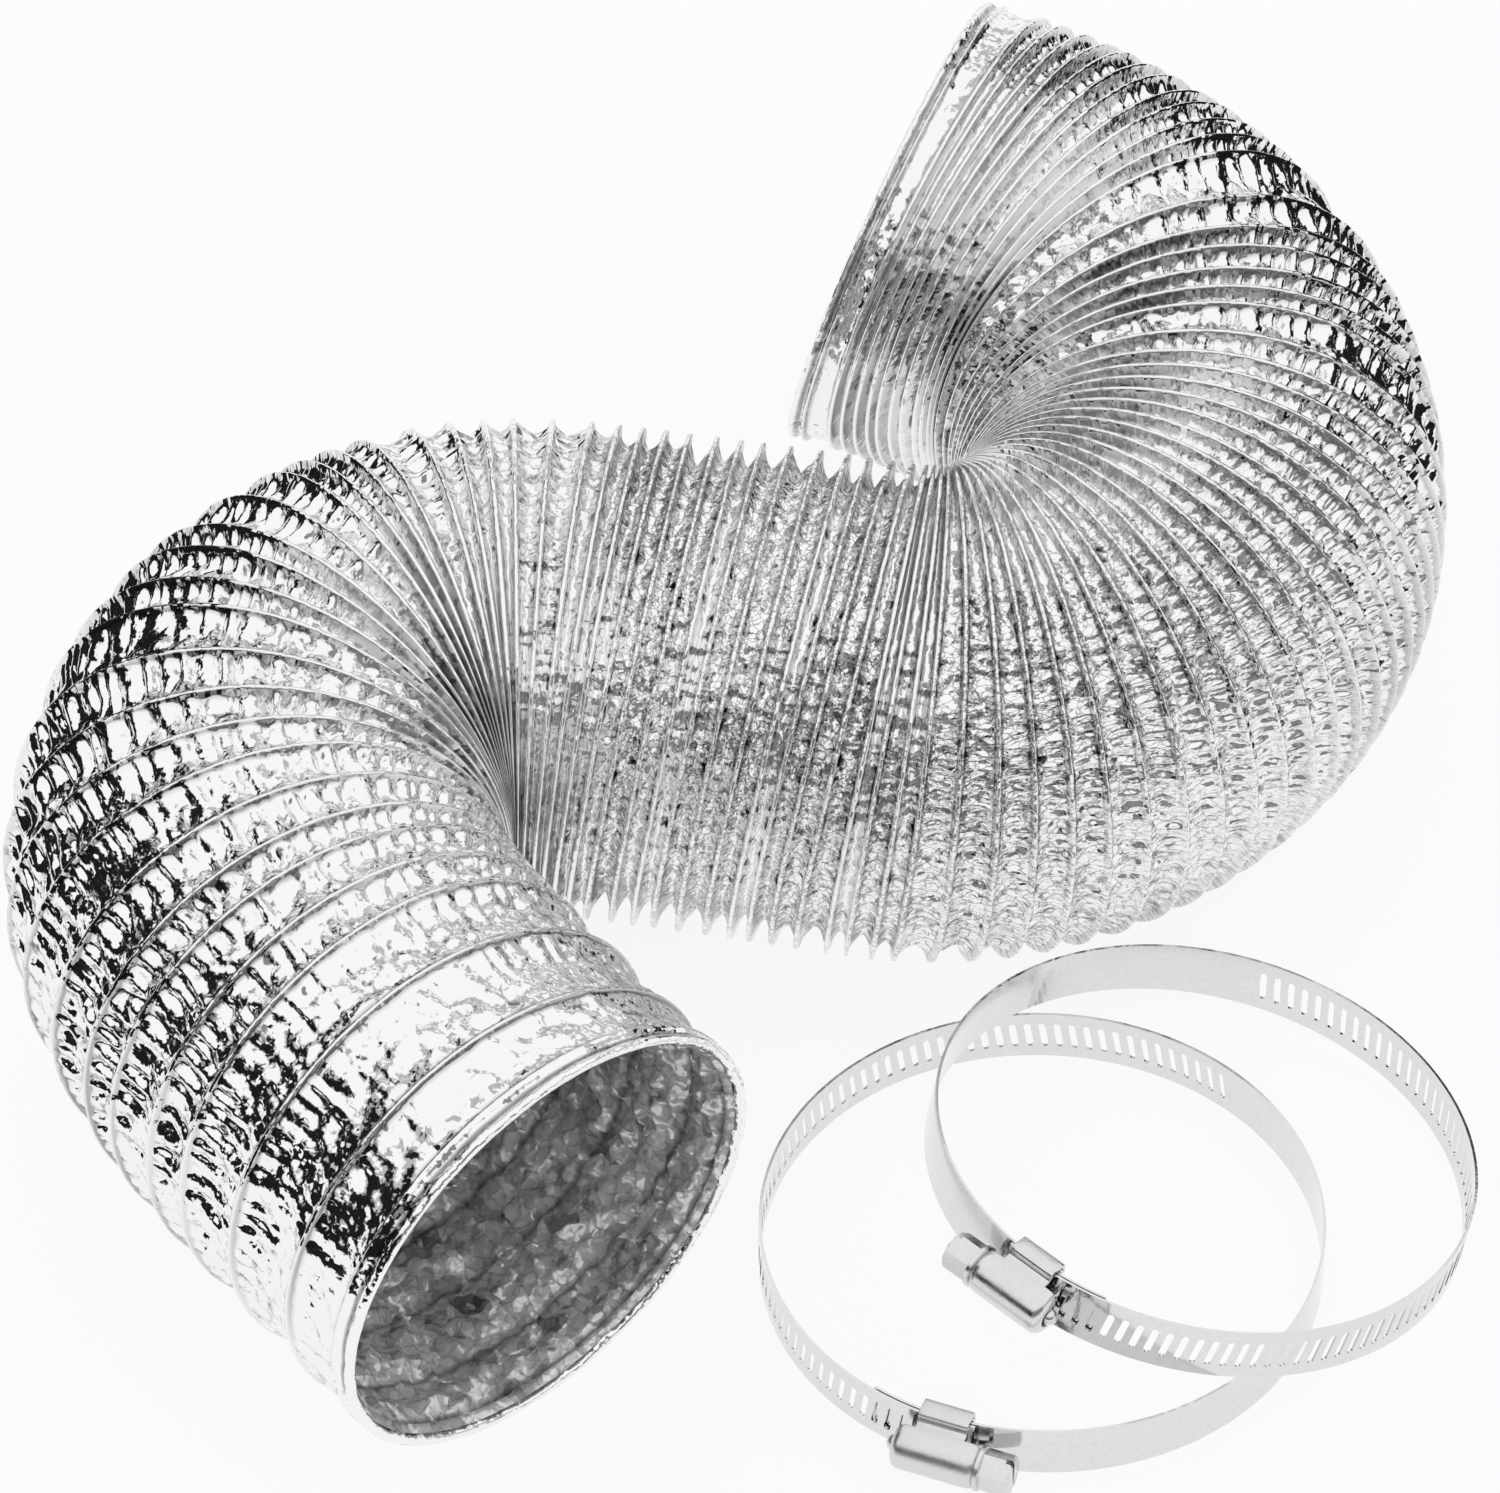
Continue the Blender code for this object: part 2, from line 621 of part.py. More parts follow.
def leaning_placement(clamp, lower, lower_centre, step):
    """Clamp that leans on another: its far edge on the floor, its near side on the other band."""
    between = step.length
    low_radius = lower.diameter / 2
    high_radius = clamp.diameter / 2
    chord = (between ** 2 + low_radius ** 2 - high_radius ** 2) / (2 * between)
    beyond = between - chord + high_radius
    rest_height = BAND_WIDTH + EDGE_PLAY + PLATE + 2 * GAP
    tilt = math.asin(rest_height / beyond)
    centre = lower_centre + step
    downhill = Vector((step.x, step.y, 0)).normalized()
    axis = downhill.cross(Vector((0, 0, 1)))
    height = high_radius * math.sin(tilt) + BAND_WIDTH / 2 * math.cos(tilt) + GAP
    return Matrix.Translation((centre.x, centre.y, height)) @ Matrix.Rotation(-tilt, 4, axis)


# ---------------------------------------------------------------- build

def build():
    clear_scene()
    collection = new_collection("flexible_air_duct")
    cutters = new_collection("cutters")
    outer_foil = material("outer_foil", (0.86, 0.87, 0.88), 0.22)
    inner_foil = material("inner_foil", (0.62, 0.63, 0.65), 0.3)
    steel = material("stainless_band", (0.78, 0.78, 0.77), 0.24)
    plated = material("plated_steel", (0.70, 0.70, 0.71), 0.3)
    wire = material("spring_wire", (0.55, 0.55, 0.57), 0.35)
    make_duct(collection, outer_foil, inner_foil, wire)
    make_clamp(FRONT_CLAMP, lying_placement(FRONT_CLAMP, FRONT_CLAMP_AT),
               collection, cutters, steel, plated)
    make_clamp(REAR_CLAMP, leaning_placement(REAR_CLAMP, FRONT_CLAMP, FRONT_CLAMP_AT,
                                             REAR_CLAMP_STEP),
               collection, cutters, steel, plated)


build()
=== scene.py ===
"""Looks of the flexible air duct and its two band clamps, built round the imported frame."""
import math
from collections import namedtuple

import bmesh
import bpy
import numpy as np
from mathutils import Matrix, Vector


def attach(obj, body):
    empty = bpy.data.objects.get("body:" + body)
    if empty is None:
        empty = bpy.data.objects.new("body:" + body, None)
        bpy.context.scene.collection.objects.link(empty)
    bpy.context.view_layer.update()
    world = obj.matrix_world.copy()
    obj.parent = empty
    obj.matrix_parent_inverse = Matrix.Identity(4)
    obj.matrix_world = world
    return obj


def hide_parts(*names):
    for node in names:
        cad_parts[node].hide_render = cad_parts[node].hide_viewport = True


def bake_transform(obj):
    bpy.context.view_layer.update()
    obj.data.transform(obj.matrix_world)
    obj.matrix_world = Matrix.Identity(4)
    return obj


MM = 0.001                       # lengths are in millimetres until a mesh is made
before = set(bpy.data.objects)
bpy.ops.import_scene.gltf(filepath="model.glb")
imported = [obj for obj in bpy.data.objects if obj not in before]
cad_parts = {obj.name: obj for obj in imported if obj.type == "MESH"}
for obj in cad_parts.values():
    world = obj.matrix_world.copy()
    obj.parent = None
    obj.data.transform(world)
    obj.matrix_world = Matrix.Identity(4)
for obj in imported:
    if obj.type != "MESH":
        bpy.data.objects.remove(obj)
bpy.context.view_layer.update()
scene = bpy.context.scene

# ------------------------------------------------------------------ the duct's route
# It stays within about 8 mm of the CAD's, and closer to the photo's outline.
RIDGE = 54.0
AXIS_HEIGHT = 53.5
MIDDLE_SEAM = 261.0
STRETCHES = [(9, -4), (38, -1), (13, 1), (44, -15), (49, -45.5), (33, -34.5), (39.5, -41.4),
             (71, -4.7), (51, 53.5), (46, 39.6), (58, 36.4), (20, 17.8), (45, 20.5),
             (11.5, 5.2)]                                                     # length, turn
FRONT_MOUTH = (-38.5, -163.1)
FRONT_HEADING = 132.2
HEADING_BLEND = 12.0
KNOTS = np.concatenate([[0.0], np.cumsum([length for length, turn in STRETCHES])])
KNOT_HEADINGS = FRONT_HEADING + np.concatenate([[0.0], np.cumsum([turn for _, turn in STRETCHES])])
LENGTH = float(KNOTS[-1])
STEPS = np.linspace(-6, LENGTH + 6, int(LENGTH + 12) * 4 + 1)
LEAN_AT = [0, 47, 212, 242, 292, 335, 451.5, LENGTH]
LEAN = [4.7, 0, 0, -8, -8, 0, 0, 13.6]               # degrees, the way a ring faces up


def heading(station):
    window = np.asarray(station, float)[..., None] + HEADING_BLEND * np.linspace(-1, 1, 9)
    return np.interp(window, KNOTS, KNOT_HEADINGS).mean(-1)


def route_points():
    turned = np.radians(heading(STEPS))
    ahead = np.stack([np.cos(turned), np.sin(turned)], 1)
    travel = (ahead[1:] + ahead[:-1]) / 2 * np.diff(STEPS)[:, None]
    points = np.vstack([[0, 0], np.cumsum(travel, 0)])
    mouth = [np.interp(0, STEPS, points[:, axis]) for axis in (0, 1)]
    return points - mouth + np.array(FRONT_MOUTH)


ROUTE = route_points()


def section_frames(stations):
    """Centres and the directions across, up and along, for stations on the route."""
    stations = np.asarray(stations, float)
    turned, lean = np.radians(heading(stations)), np.radians(np.interp(stations, LEAN_AT, LEAN))
    level = np.zeros_like(turned)
    forward = np.stack([np.cos(turned), np.sin(turned), level], -1)
    vertical = np.array([0, 0, 1.0])
    up = np.cos(lean)[..., None] * vertical - np.sin(lean)[..., None] * forward
    along = np.cos(lean)[..., None] * forward + np.sin(lean)[..., None] * vertical
    across = np.cross(up, along)
    centre = np.stack([np.interp(stations, STEPS, ROUTE[:, 0]),
                       np.interp(stations, STEPS, ROUTE[:, 1]), level + AXIS_HEIGHT], -1)
    return centre, across, up, along


def rings(stations, angles, radius):
    """Points of rings, a row for each station, and each ring's direction along the duct."""
    centre, across, up, along = section_frames(stations)
    outwards = (across[:, None, :] * np.cos(angles)[None, :, None]
                + up[:, None, :] * np.sin(angles)[None, :, None])
    return centre[:, None, :] + outwards * np.asarray(radius)[..., None], along


# ------------------------------------------------------------------ noise

def smooth(value, low, high):
    share = np.clip((value - low) / (high - low), 0, 1)
    return share * share * (3 - 2 * share)


def zigzag(value):
    """A wave of straight flanks between -1 and 1, with a period of 1."""
    return 4 * np.abs(value - np.floor(value) - 0.5) - 1


def spline_weights(share):
    return np.stack([(1 - share) ** 3, 3 * share ** 3 - 6 * share ** 2 + 4,
                     -3 * share ** 3 + 3 * share ** 2 + 3 * share + 1, share ** 3]) / 6


def noise(stations, angles, cell, seed):
    """Smooth noise over stations and angles, about -1 to 1, in cells of so many millimetres."""
    around = max(3, round(2 * math.pi * RIDGE / cell))
    grid = np.random.default_rng(seed).uniform(-1, 1, (int(LENGTH / cell) + 8, around))
    v = np.asarray(stations) / cell + 2
    u = np.asarray(angles) / (2 * math.pi) * around
    row, column = np.floor(v).astype(int), np.floor(u).astype(int)
    down, side = spline_weights(v - row), spline_weights(u - column)
    total = np.zeros((len(v), len(u)))
    for i in range(4):
        for j in range(4):
            total += down[i][:, None] * side[j] * grid[row + i - 1][:, (column + j - 1) % around]
    return total * 1.9


# ------------------------------------------------------------------ the outer foil
RIDGES = np.array([
    4.6, 18.3, 37.7, 55.0, 65.7, 76.9, 85.5, 97.1, 108.8, 118.4, 128.0, 138.6, 149.8, 156.3,
    163.9, 169.4, 177.1, 184.1, 188.2, 192.3, 196.7, 203.4, 208.5, 212.9, 216.5, 221.6, 227.1,
    231.2, 235.0, 239.0, 243.5, 249.3, 254.4, 259.1, 264.9, 271.3, 277.0, 281.5, 286.5, 291.4,
    296.2, 299.1, 302.6, 305.5, 310.1, 314.8, 319.2, 323.6, *np.linspace(327.8, 393.3, 15), 398.2, 404.7, 413.4, 418.4, 423.9, 430.5, 436.1, 444.7,
    457.9, 463.4, 468.5, 474.5, 479.1, 485.7, 490.7, 496.3, 500.4, 505.4, 510.5, 515.1, 523.9])
RIM = [(1.6, 51.4), (0.9, 51.5), (0.35, 51.8), (0.0, 52.4), (0.0, 53.0), (0.35, 53.6),
       (0.9, 53.85), (1.5, 53.7), (2.1, 53.2), (2.8, 52.9), (3.4, 53.0), (3.8, 53.5)]
#                                  the rim, from inside the lip to the first ridge: depth, radius
BEAD = 0.62                      # half width of a ridge
FOOT = 0.45                      # how far the foil lies below the ridge's top beside it
STYLE_AT = [0, 9, 28, 75, 110, 150, 205, 228, 240, 246, 284, 300, 320, 380, 400, 430, 470, 505, 520]
FOLD = [1.0, 1.2, 2.0, 3.0, 3.2, 3.4, 4.0, 4.2, 4.6, 7.0, 7.0, 5.0, 4.2, 4.2, 4.4, 4.2, 3.8, 3.0, 1.4]
FLANK = [3, 3, 3, 3, 3, 3, 3, 3, 2.4, 1.4, 1.5, 2.2, 2.6, 2.6, 2.8, 3, 3, 3, 3]
LEAVES = [0.3, 0.3, 0.5, 1, 1, 1, 0.9, 0.6, 0.4, 0.3, 0.3, 0.4, 0.6, 0.75, 0.9, 1, 0.9, 0.7, 0.3]
CRUMPLE = [0.5, 0.4, 0.5, 0.6, 0.6, 0.6, 0.6, 0.65, 0.7, 0.7, 0.7, 0.7, 0.7, 0.65, 0.6, 0.6, 0.6,
           0.5, 0.4]
COARSE = [0.6, 0.8, 0.8, 0.6, 0.4, 0.3, 0.2, 0, 0, 0, 0, 0, 0, 0.1, 0.2, 0.3, 0.4, 0.5, 0.5]
OPEN_SIDE = [0, 0, 0, 0, 0, 0, 0, 0.1, 0.3, 0.6, 0.6, 0.5, 0.35, 0.2, 0.1, 0, 0, 0, 0]
FLAT_SIDE = math.radians(133)    # the side of the rings on which the foil is least folded
OPEN_SPREAD = (math.radians(52), math.radians(82))     # how far that reaches, to each side
CREASES = [(64, 0.05, 0.5), (41, 0.16, 0.5), (-37, 0.19, 0.45), (12, 0.31, 0.4), (97, -0.12, 0.3),
           (-83, 0.33, 0.3), (30, 0.52, 0.22)]    # turns round the duct, turns per mm along, height
COLUMNS = 512
SPACING = 0.66


def foil_rows():
    """Stations of the rows between ridges, with each row's gap and its share of the way across."""
    stations, gap, share = [], [], []
    for index, (near, far) in enumerate(zip(RIDGES[:-1], RIDGES[1:])):
        width = far - near
        bead = min(BEAD, 0.2 * width)
        edge = np.array([0, 0.4, 0.75, 1.0, 1.35]) * bead / width
        count = max(3, int(round((width - 2.7 * bead) / SPACING)))
        middle = np.linspace(edge[-1], 1 - edge[-1], count + 1)[1:-1]
        places = np.concatenate([edge, middle, (1 - edge[1:])[::-1]])
        stations.append(near + places * width)
        gap.append(np.full(len(places), index))
        share.append(places)
    return np.concatenate(stations), np.concatenate(gap), np.concatenate(share)


def leaves(angles, share, seed, width):
    """How far leaf-shaped pleats that hang from one ridge fill the sag beside it, 0 to 1."""
    rng = np.random.default_rng(seed)
    count = int(round(2 * math.pi * RIDGE / width))
    parts = rng.uniform(0.5, 1.6, count)
    edges = np.concatenate([[0], np.cumsum(parts)]) / parts.sum() * 2 * math.pi
    height = rng.uniform(0.45, 1.0, count)
    skew = rng.uniform(-0.6, 0.6, count)
    reach = rng.uniform(0.45, 1.05, count)
    turned = (angles + rng.uniform(0, 2 * math.pi)) % (2 * math.pi)
    leaf = np.clip(np.searchsorted(edges, turned, side="right") - 1, 0, count - 1)
    across = (turned - edges[leaf]) / (edges[leaf + 1] - edges[leaf])
    across = np.clip(across + skew[leaf] * across * (1 - across), 0, 1)
    dome = np.sin(math.pi * across) ** 0.7
    return height[leaf] * np.clip(dome - (share / reach[leaf]) ** 1.6, 0, 1)


def leaf_table(angles, gap, share, spans):
    """The pleats of both ridges of every gap."""
    table = np.zeros((len(gap), len(angles)))
    rng = np.random.default_rng(3)
    for index in range(len(RIDGES) - 1):
        rows = np.where(gap == index)[0]
        width = float(np.clip(0.6 * np.median(spans[index]), 2.8, 5.2))
        away = share[rows][:, None] * np.ones(len(angles))
        slants = rng.uniform(-0.03, 0.03, 2)
        near = leaves(angles + slants[0] * away, away, 100 + 2 * index, width)
        far = leaves(angles + slants[1] * away, 1 - away, 101 + 2 * index, width)
        table[rows] = np.maximum(near, far)
    return table


def crumple_table(stations, angles, scale=1.0):
    """Facets of crumpled foil: zigzags that cross each other, warped and patchy."""
    warp = noise(stations, angles, 6.0 * scale, 21)
    drift = noise(stations, angles, 6.0 * scale, 22)
    total = np.zeros(warp.shape)
    for index, (turns, along, height) in enumerate(CREASES):
        patch = np.clip(0.5 + 0.9 * noise(stations, angles, 8.0 * scale, 31 + index), 0, 1)
        phase = angles * round(turns / scale) / (2 * math.pi) + stations[:, None] * along / scale
        total += height * scale * patch * zigzag(phase + 0.45 * warp + 0.25 * drift)
    return total


def outer_foil():
    """The whole outer foil: rows of points with their stations, shade, crumple and radius."""
    stations, gap, share = foil_rows()
    angles = np.arange(COLUMNS) / COLUMNS * 2 * math.pi - math.pi / 2
    foot_rings = rings(RIDGES, angles, np.full((len(RIDGES), COLUMNS), RIDGE - 1.5))[0]
    spans = np.linalg.norm(np.diff(foot_rings, axis=0), axis=-1)
    span = spans[gap]
    wander = 0.35 * noise(stations, angles, 16.0, 11)
    t = share[:, None] + wander * share[:, None] * (1 - share[:, None])
    off = np.minimum(share, 1 - share)[:, None] * span
    bead = np.minimum(BEAD, 0.27 * span)

    rng = np.random.default_rng(5)
    jitter = 1 + 0.18 * rng.uniform(-1, 1, len(RIDGES))[gap][:, None]
    depth = np.interp(stations, STYLE_AT, FOLD)[:, None] * jitter
    depth = depth * (1 + 0.2 * noise(stations, angles, 14.0, 12))
    depth = np.minimum(depth, 0.6 + 1.3 * span)
    from_top = np.abs((angles - FLAT_SIDE + math.pi) % (2 * math.pi) - math.pi)
    open_side = np.interp(stations, STYLE_AT, OPEN_SIDE)[:, None]
    depth = depth * (1 - open_side * (1 - smooth(from_top, *OPEN_SPREAD)))
    flank = np.interp(stations, STYLE_AT, FLANK)[:, None]
    sag = 1 - np.abs(2 * t - 1) ** flank
    room = smooth(span, 2.5, 6.5)
    filled = leaf_table(angles, gap, share, spans)
    filled = filled * room * np.interp(stations, STYLE_AT, LEAVES)[:, None]
    rough = np.interp(stations, STYLE_AT, CRUMPLE)[:, None] * np.clip(span / 5.0, 0.1, 1.0)
    clear = smooth(off, 0.6 * bead, 1.2 * bead + 0.8)
    coarse = np.interp(stations, STYLE_AT, COARSE)[:, None]
    crumple = (1 - coarse) * crumple_table(stations, angles) + coarse * crumple_table(stations, angles, 2)
    crumple = crumple * rough * clear * 0.75
    radius = RIDGE - FOOT - depth * sag * (1 - filled) + crumple
    top = RIDGE - bead + np.sqrt(np.clip(1 - (off / bead) ** 2, 0, 1)) * bead
    radius = np.where(off < bead, np.maximum(radius, top), np.minimum(radius, RIDGE - 0.3))

    # painted shade: a dark line under each ridge, and dark folds where the ridges crowd together
    line = np.exp(-((off - 1.15 * bead) / 0.3) ** 2)
    line = line * np.clip(0.55 + 0.5 * noise(stations, angles, 22.0, 13), 0.1, 1)
    crowded = 1 - smooth(span, 0.8, 3.2)
    painted_fold_shade = crowded * smooth(off / np.maximum(span, 0.1), 0.25, 0.45)
    shade = (1 - 0.8 * line) * (1 - 0.8 * painted_fold_shade)

    waver = 0.3 * noise(RIDGES, angles, 42.0, 41)
    waver[[0, -1]] = 0
    shift = waver[gap] * (1 - share[:, None]) + waver[gap + 1] * share[:, None]
    points, along = rings(stations, angles, radius)
    points = points + along[:, None, :] * (shift * np.clip(span / 6, 0, 1))[..., None]
    return stations, angles, points, shade, rough + 0 * radius, radius


def rim_rows(angles, mouth, inward):
    """Rows of a rim, from inside its lip outwards."""
    depths, radii = np.array(RIM).T
    stations = mouth + inward * depths
    ripple = noise(stations, angles, 3.0, 51) * np.interp(depths, [0, 2, 4], [0.1, 0.35, 0.1])[:, None]
    return stations, rings(stations, angles, radii[:, None] + np.minimum(ripple, 0.2))[0]


# ------------------------------------------------------------------ meshes

def skin(name, points, places, shade, rough, flip=False):
    """A tube of rows, with the places, shade and crumple that its material reads."""
    rows, columns = points.shape[:2]
    mesh = bpy.data.meshes.new(name)
    start = np.arange(rows - 1)[:, None] * columns
    column = np.arange(columns)[None, :]
    after = (column + 1) % columns
    quads = np.stack([start + column, start + after, start + columns + after,
                      start + columns + column], -1).reshape(-1, 4)
    corner_u = np.stack([column, column + 1, column + 1, column], -1) / columns * np.ones((rows - 1, 1, 1))
    corner_v = (np.arange(rows - 1)[:, None, None] + np.array([0, 0, 1, 1])) / (rows - 1)
    corner_v = corner_v * np.ones((1, columns, 1))
    uv = np.stack([corner_u, corner_v], -1).reshape(-1, 4, 2)
    if flip:
        quads, uv = quads[:, ::-1], uv[:, ::-1]
    mesh.vertices.add(rows * columns)
    mesh.vertices.foreach_set("co", (points * MM).astype(np.float32).ravel())
    mesh.loops.add(quads.size)
    mesh.loops.foreach_set("vertex_index", quads.astype(np.int32).ravel())
    mesh.polygons.add(len(quads))
    mesh.polygons.foreach_set("loop_start", np.arange(0, quads.size, 4, dtype=np.int32))
    mesh.update(calc_edges=True)
    mesh.shade_smooth()
    mesh.uv_layers.new(name="OFBake").data.foreach_set("uv", uv.astype(np.float32).ravel())
    place = mesh.attributes.new("foil_place", "FLOAT_VECTOR", "POINT")
    place.data.foreach_set("vector", places.astype(np.float32).ravel())
    # the shade attribute is painted shade, which darkens the foil's colour in its material
    for label, values in (("foil_painted_shade", shade), ("foil_rough", rough)):
        mesh.attributes.new(label, "FLOAT", "POINT").data.foreach_set(
            "value", values.astype(np.float32).ravel())
    item = bpy.data.objects.new(name, mesh)
    scene.collection.objects.link(item)
    return item


# ------------------------------------------------------------------ materials

class Graph:
    """Short ways to add shader nodes."""

    def __init__(self, tree):
        self.tree = tree

    def node(self, kind, **values):
        made = self.tree.nodes.new("ShaderNode" + kind)
        for name, value in values.items():
            setattr(made, name, value)
        return made

    def put(self, socket, value):
        if isinstance(value, bpy.types.NodeSocket):
            self.tree.links.new(value, socket)
        else:
            socket.default_value = value

    def math(self, operation, first, second=0.0):
        made = self.node("Math", operation=operation)
        self.put(made.inputs[0], first)
        self.put(made.inputs[1], second)
        return made.outputs[0]

    def vector(self, operation, *values):
        made = self.node("VectorMath", operation=operation)
        for socket, value in zip(made.inputs, values):
            self.put(socket, value)
        return made

    def ramp(self, value, low, high, start=0.0, end=1.0):
        made = self.node("MapRange", interpolation_type="SMOOTHSTEP")
        for name, part in (("Value", value), ("From Min", low), ("From Max", high),
                           ("To Min", start), ("To Max", end)):
            self.put(made.inputs[name], part)
        return made.outputs[0]

    def blend(self, share, first, second):
        """A colour between two, by a share from 0 to 1."""
        made = self.node("Mix", data_type="RGBA")
        factor = next(s for s in made.inputs if s.identifier == "Factor_Float")
        start, end = [s for s in made.inputs if s.type == "RGBA"]
        self.put(factor, share)
        start.default_value = (*first, 1)
        end.default_value = (*second, 1)
        return next(s for s in made.outputs if s.type == "RGBA")

    def attribute(self, name, output="Fac"):
        return self.node("Attribute", attribute_name=name).outputs[output]


def new_material(name):
    made = bpy.data.materials.new(name)
    made.use_nodes = True
    return made, Graph(made.node_tree), made.node_tree.nodes["Principled BSDF"]


def foil_material(name, colour, metallic, roughness, cells, tilts, painted_crease_shade):
    """Bright foil. Its finest facets are cells that each tilt the surface their own way. Its colour holds
    painted shade: dark lines along the edges of the finest cells where it is crumpled, and the shade attribute.
    """
    made, graph, shader = new_material(name)
    shader.inputs["Metallic"].default_value = metallic
    shader.inputs["Roughness"].default_value = roughness
    place = graph.attribute("foil_place", "Vector")
    rough = graph.attribute("foil_rough")
    normal = graph.node("NewGeometry").outputs["Normal"]
    for scale, tilt in zip(cells, tilts):
        warp = graph.node("TexNoise")
        warp.inputs["Scale"].default_value = 0.9 * scale
        warp.inputs["Detail"].default_value = 1.0
        graph.put(warp.inputs["Vector"], place)
        warped = graph.vector("MULTIPLY_ADD", warp.outputs["Color"], (1.2 / scale,) * 3, place)
        cell = graph.node("TexVoronoi")
        cell.inputs["Scale"].default_value = scale
        graph.put(cell.inputs["Vector"], warped.outputs[0])
        lean = graph.vector("SUBTRACT", cell.outputs["Color"], (0.5, 0.5, 0.5))
        lean = graph.vector("SCALE", lean.outputs[0])
        graph.put(lean.inputs["Scale"], graph.math("MULTIPLY", rough, 2 * tilt))
        normal = graph.vector("ADD", normal, lean.outputs[0]).outputs[0]
    graph.put(shader.inputs["Normal"], graph.vector("NORMALIZE", normal).outputs[0])
    # painted crease shade: dark lines along the edges of the finest cells
    edge = graph.node("TexVoronoi", feature="DISTANCE_TO_EDGE")
    edge.inputs["Scale"].default_value = cells[0] * 1.4
    graph.put(edge.inputs["Vector"], warped.outputs[0])
    painted_crease_lines = graph.ramp(edge.outputs["Distance"], 0.0, 0.09, painted_crease_shade, 0.0)
    crumpled = graph.ramp(rough, 0.62, 0.75)
    bright = graph.math("SUBTRACT", 1.0, graph.math("MULTIPLY", painted_crease_lines, crumpled))
    bright = graph.math("MULTIPLY", bright, graph.attribute("foil_painted_shade"))
    # the colour of the painted shade
    dark = tuple(0.03 * part for part in colour)
    graph.put(shader.inputs["Base Color"], graph.blend(bright, dark, colour))
    return made


def brushed_metal(name, colour, roughness, grain, bump):
    """Metal sheet with fine grain, which spreads its mirror images a little unevenly."""
    made, graph, shader = new_material(name)
    shader.inputs["Metallic"].default_value = 1.0
    place = graph.node("TexCoord").outputs["Object"]
    fine = graph.node("TexNoise")
    fine.inputs["Scale"].default_value = grain
    fine.inputs["Detail"].default_value = 3.0
    graph.put(fine.inputs["Vector"], place)
    broad = graph.node("TexNoise")
    broad.inputs["Scale"].default_value = 55.0
    graph.put(broad.inputs["Vector"], place)
    graph.put(shader.inputs["Roughness"], graph.ramp(broad.outputs["Fac"], 0.3, 0.7, 0.7 * roughness,
                                                     1.4 * roughness))
    dull = tuple(0.86 * part for part in colour)
    graph.put(shader.inputs["Base Color"], graph.blend(fine.outputs["Fac"], dull, colour))
    relief = graph.node("Bump")
    relief.inputs["Strength"].default_value = bump
    relief.inputs["Distance"].default_value = 0.0001
    graph.put(relief.inputs["Height"], fine.outputs["Fac"])
    graph.put(shader.inputs["Normal"], relief.outputs[0])
    return made


# ------------------------------------------------------------------ the duct

def straight_places(stations, angles):
    """Where each point lies on the duct laid straight, which the material reads for its pattern."""
    shape = (len(stations), len(angles))
    return np.stack([np.broadcast_to(RIDGE * np.cos(angles), shape),
                     np.broadcast_to(RIDGE * np.sin(angles), shape),
                     np.broadcast_to(stations[:, None], shape)], -1)


def plane_point(station, forward=0.0):
    centre, across, up, along = section_frames([station])
    return Vector(centre[0] + along[0] * forward) * MM


def hinge_zone(hinge, limb_end, middle_first):
    """Start and end of the strip at a bend, across the plane of its hinge, from the middle seam's ring to the
    limb's end ring.
    """
    pivot = section_frames([hinge])[0][0]
    turned = math.radians(float(heading(hinge)))
    ahead = np.array([math.cos(turned), math.sin(turned), 0])
    angles = np.linspace(0, 2 * math.pi, 64, endpoint=False)
    full = np.full((1, 64), RIDGE)
    limb, middle = [(rings([s], angles, full)[0][0] - pivot) @ ahead for s in (limb_end, MIDDLE_SEAM)]
    if middle_first:
        start, end = middle.max(), limb.min()
    else:
        start, end = middle.min(), limb.max()
    return Vector(pivot + ahead * start) * MM, Vector(pivot + ahead * end) * MM


LEFT_ZONE = hinge_zone(153, 47, False)
RIGHT_ZONE = hinge_zone(347.5, 471.5, True)
LEFT = ("middle", "front_limb", *LEFT_ZONE)
RIGHT = ("middle", "rear_limb", *RIGHT_ZONE)
FRONT = ("front_limb", "front_end", plane_point(47), plane_point(13))
REAR = ("rear_limb", "rear_end", plane_point(471.5, 9.4), plane_point(516.5, -12))
PIECES = [("front_cuff", -1, 9, "front_end"), ("front_bellows", 9, 47, FRONT),
          ("front_limb", 47, 104, LEFT), ("left_bend_start", 104, 153, LEFT),
          ("left_bend_end", 153, 225.5, LEFT), ("middle_front", 225.5, MIDDLE_SEAM, LEFT),
          ("middle_rear", MIDDLE_SEAM, 296.5, RIGHT), ("right_bend_start", 296.5, 347.5, RIGHT),
          ("right_bend_middle", 347.5, 393.5, RIGHT), ("right_bend_end", 393.5, 451.5, RIGHT),
          ("rear_limb", 451.5, 471.5, RIGHT), ("rear_bellows", 471.5, 516.5, REAR),
          ("rear_cuff", 516.5, LENGTH + 1, "rear_end")]


def dress(piece, node, motion):
    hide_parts(node)
    if isinstance(motion, str):
        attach(piece, motion)
    else:
        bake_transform(piece)


def cut_up(prefix, node_prefix, surface, table, flip):
    """Makes the pieces of a foil from its table of rows. Neighbours share a row at their seam."""
    order, points, places, shade, rough = table
    for name, start, end, motion in PIECES:
        first, last = (int(np.searchsorted(order, at)) for at in (start, end))
        rows = slice(first, last + 1)
        piece = skin(prefix + name, points[rows], places[rows], shade[rows], rough[rows], flip)
        piece.data.materials.append(surface)
        section = "middle" if name.startswith("middle") else name
        dress(piece, node_prefix + section, motion)


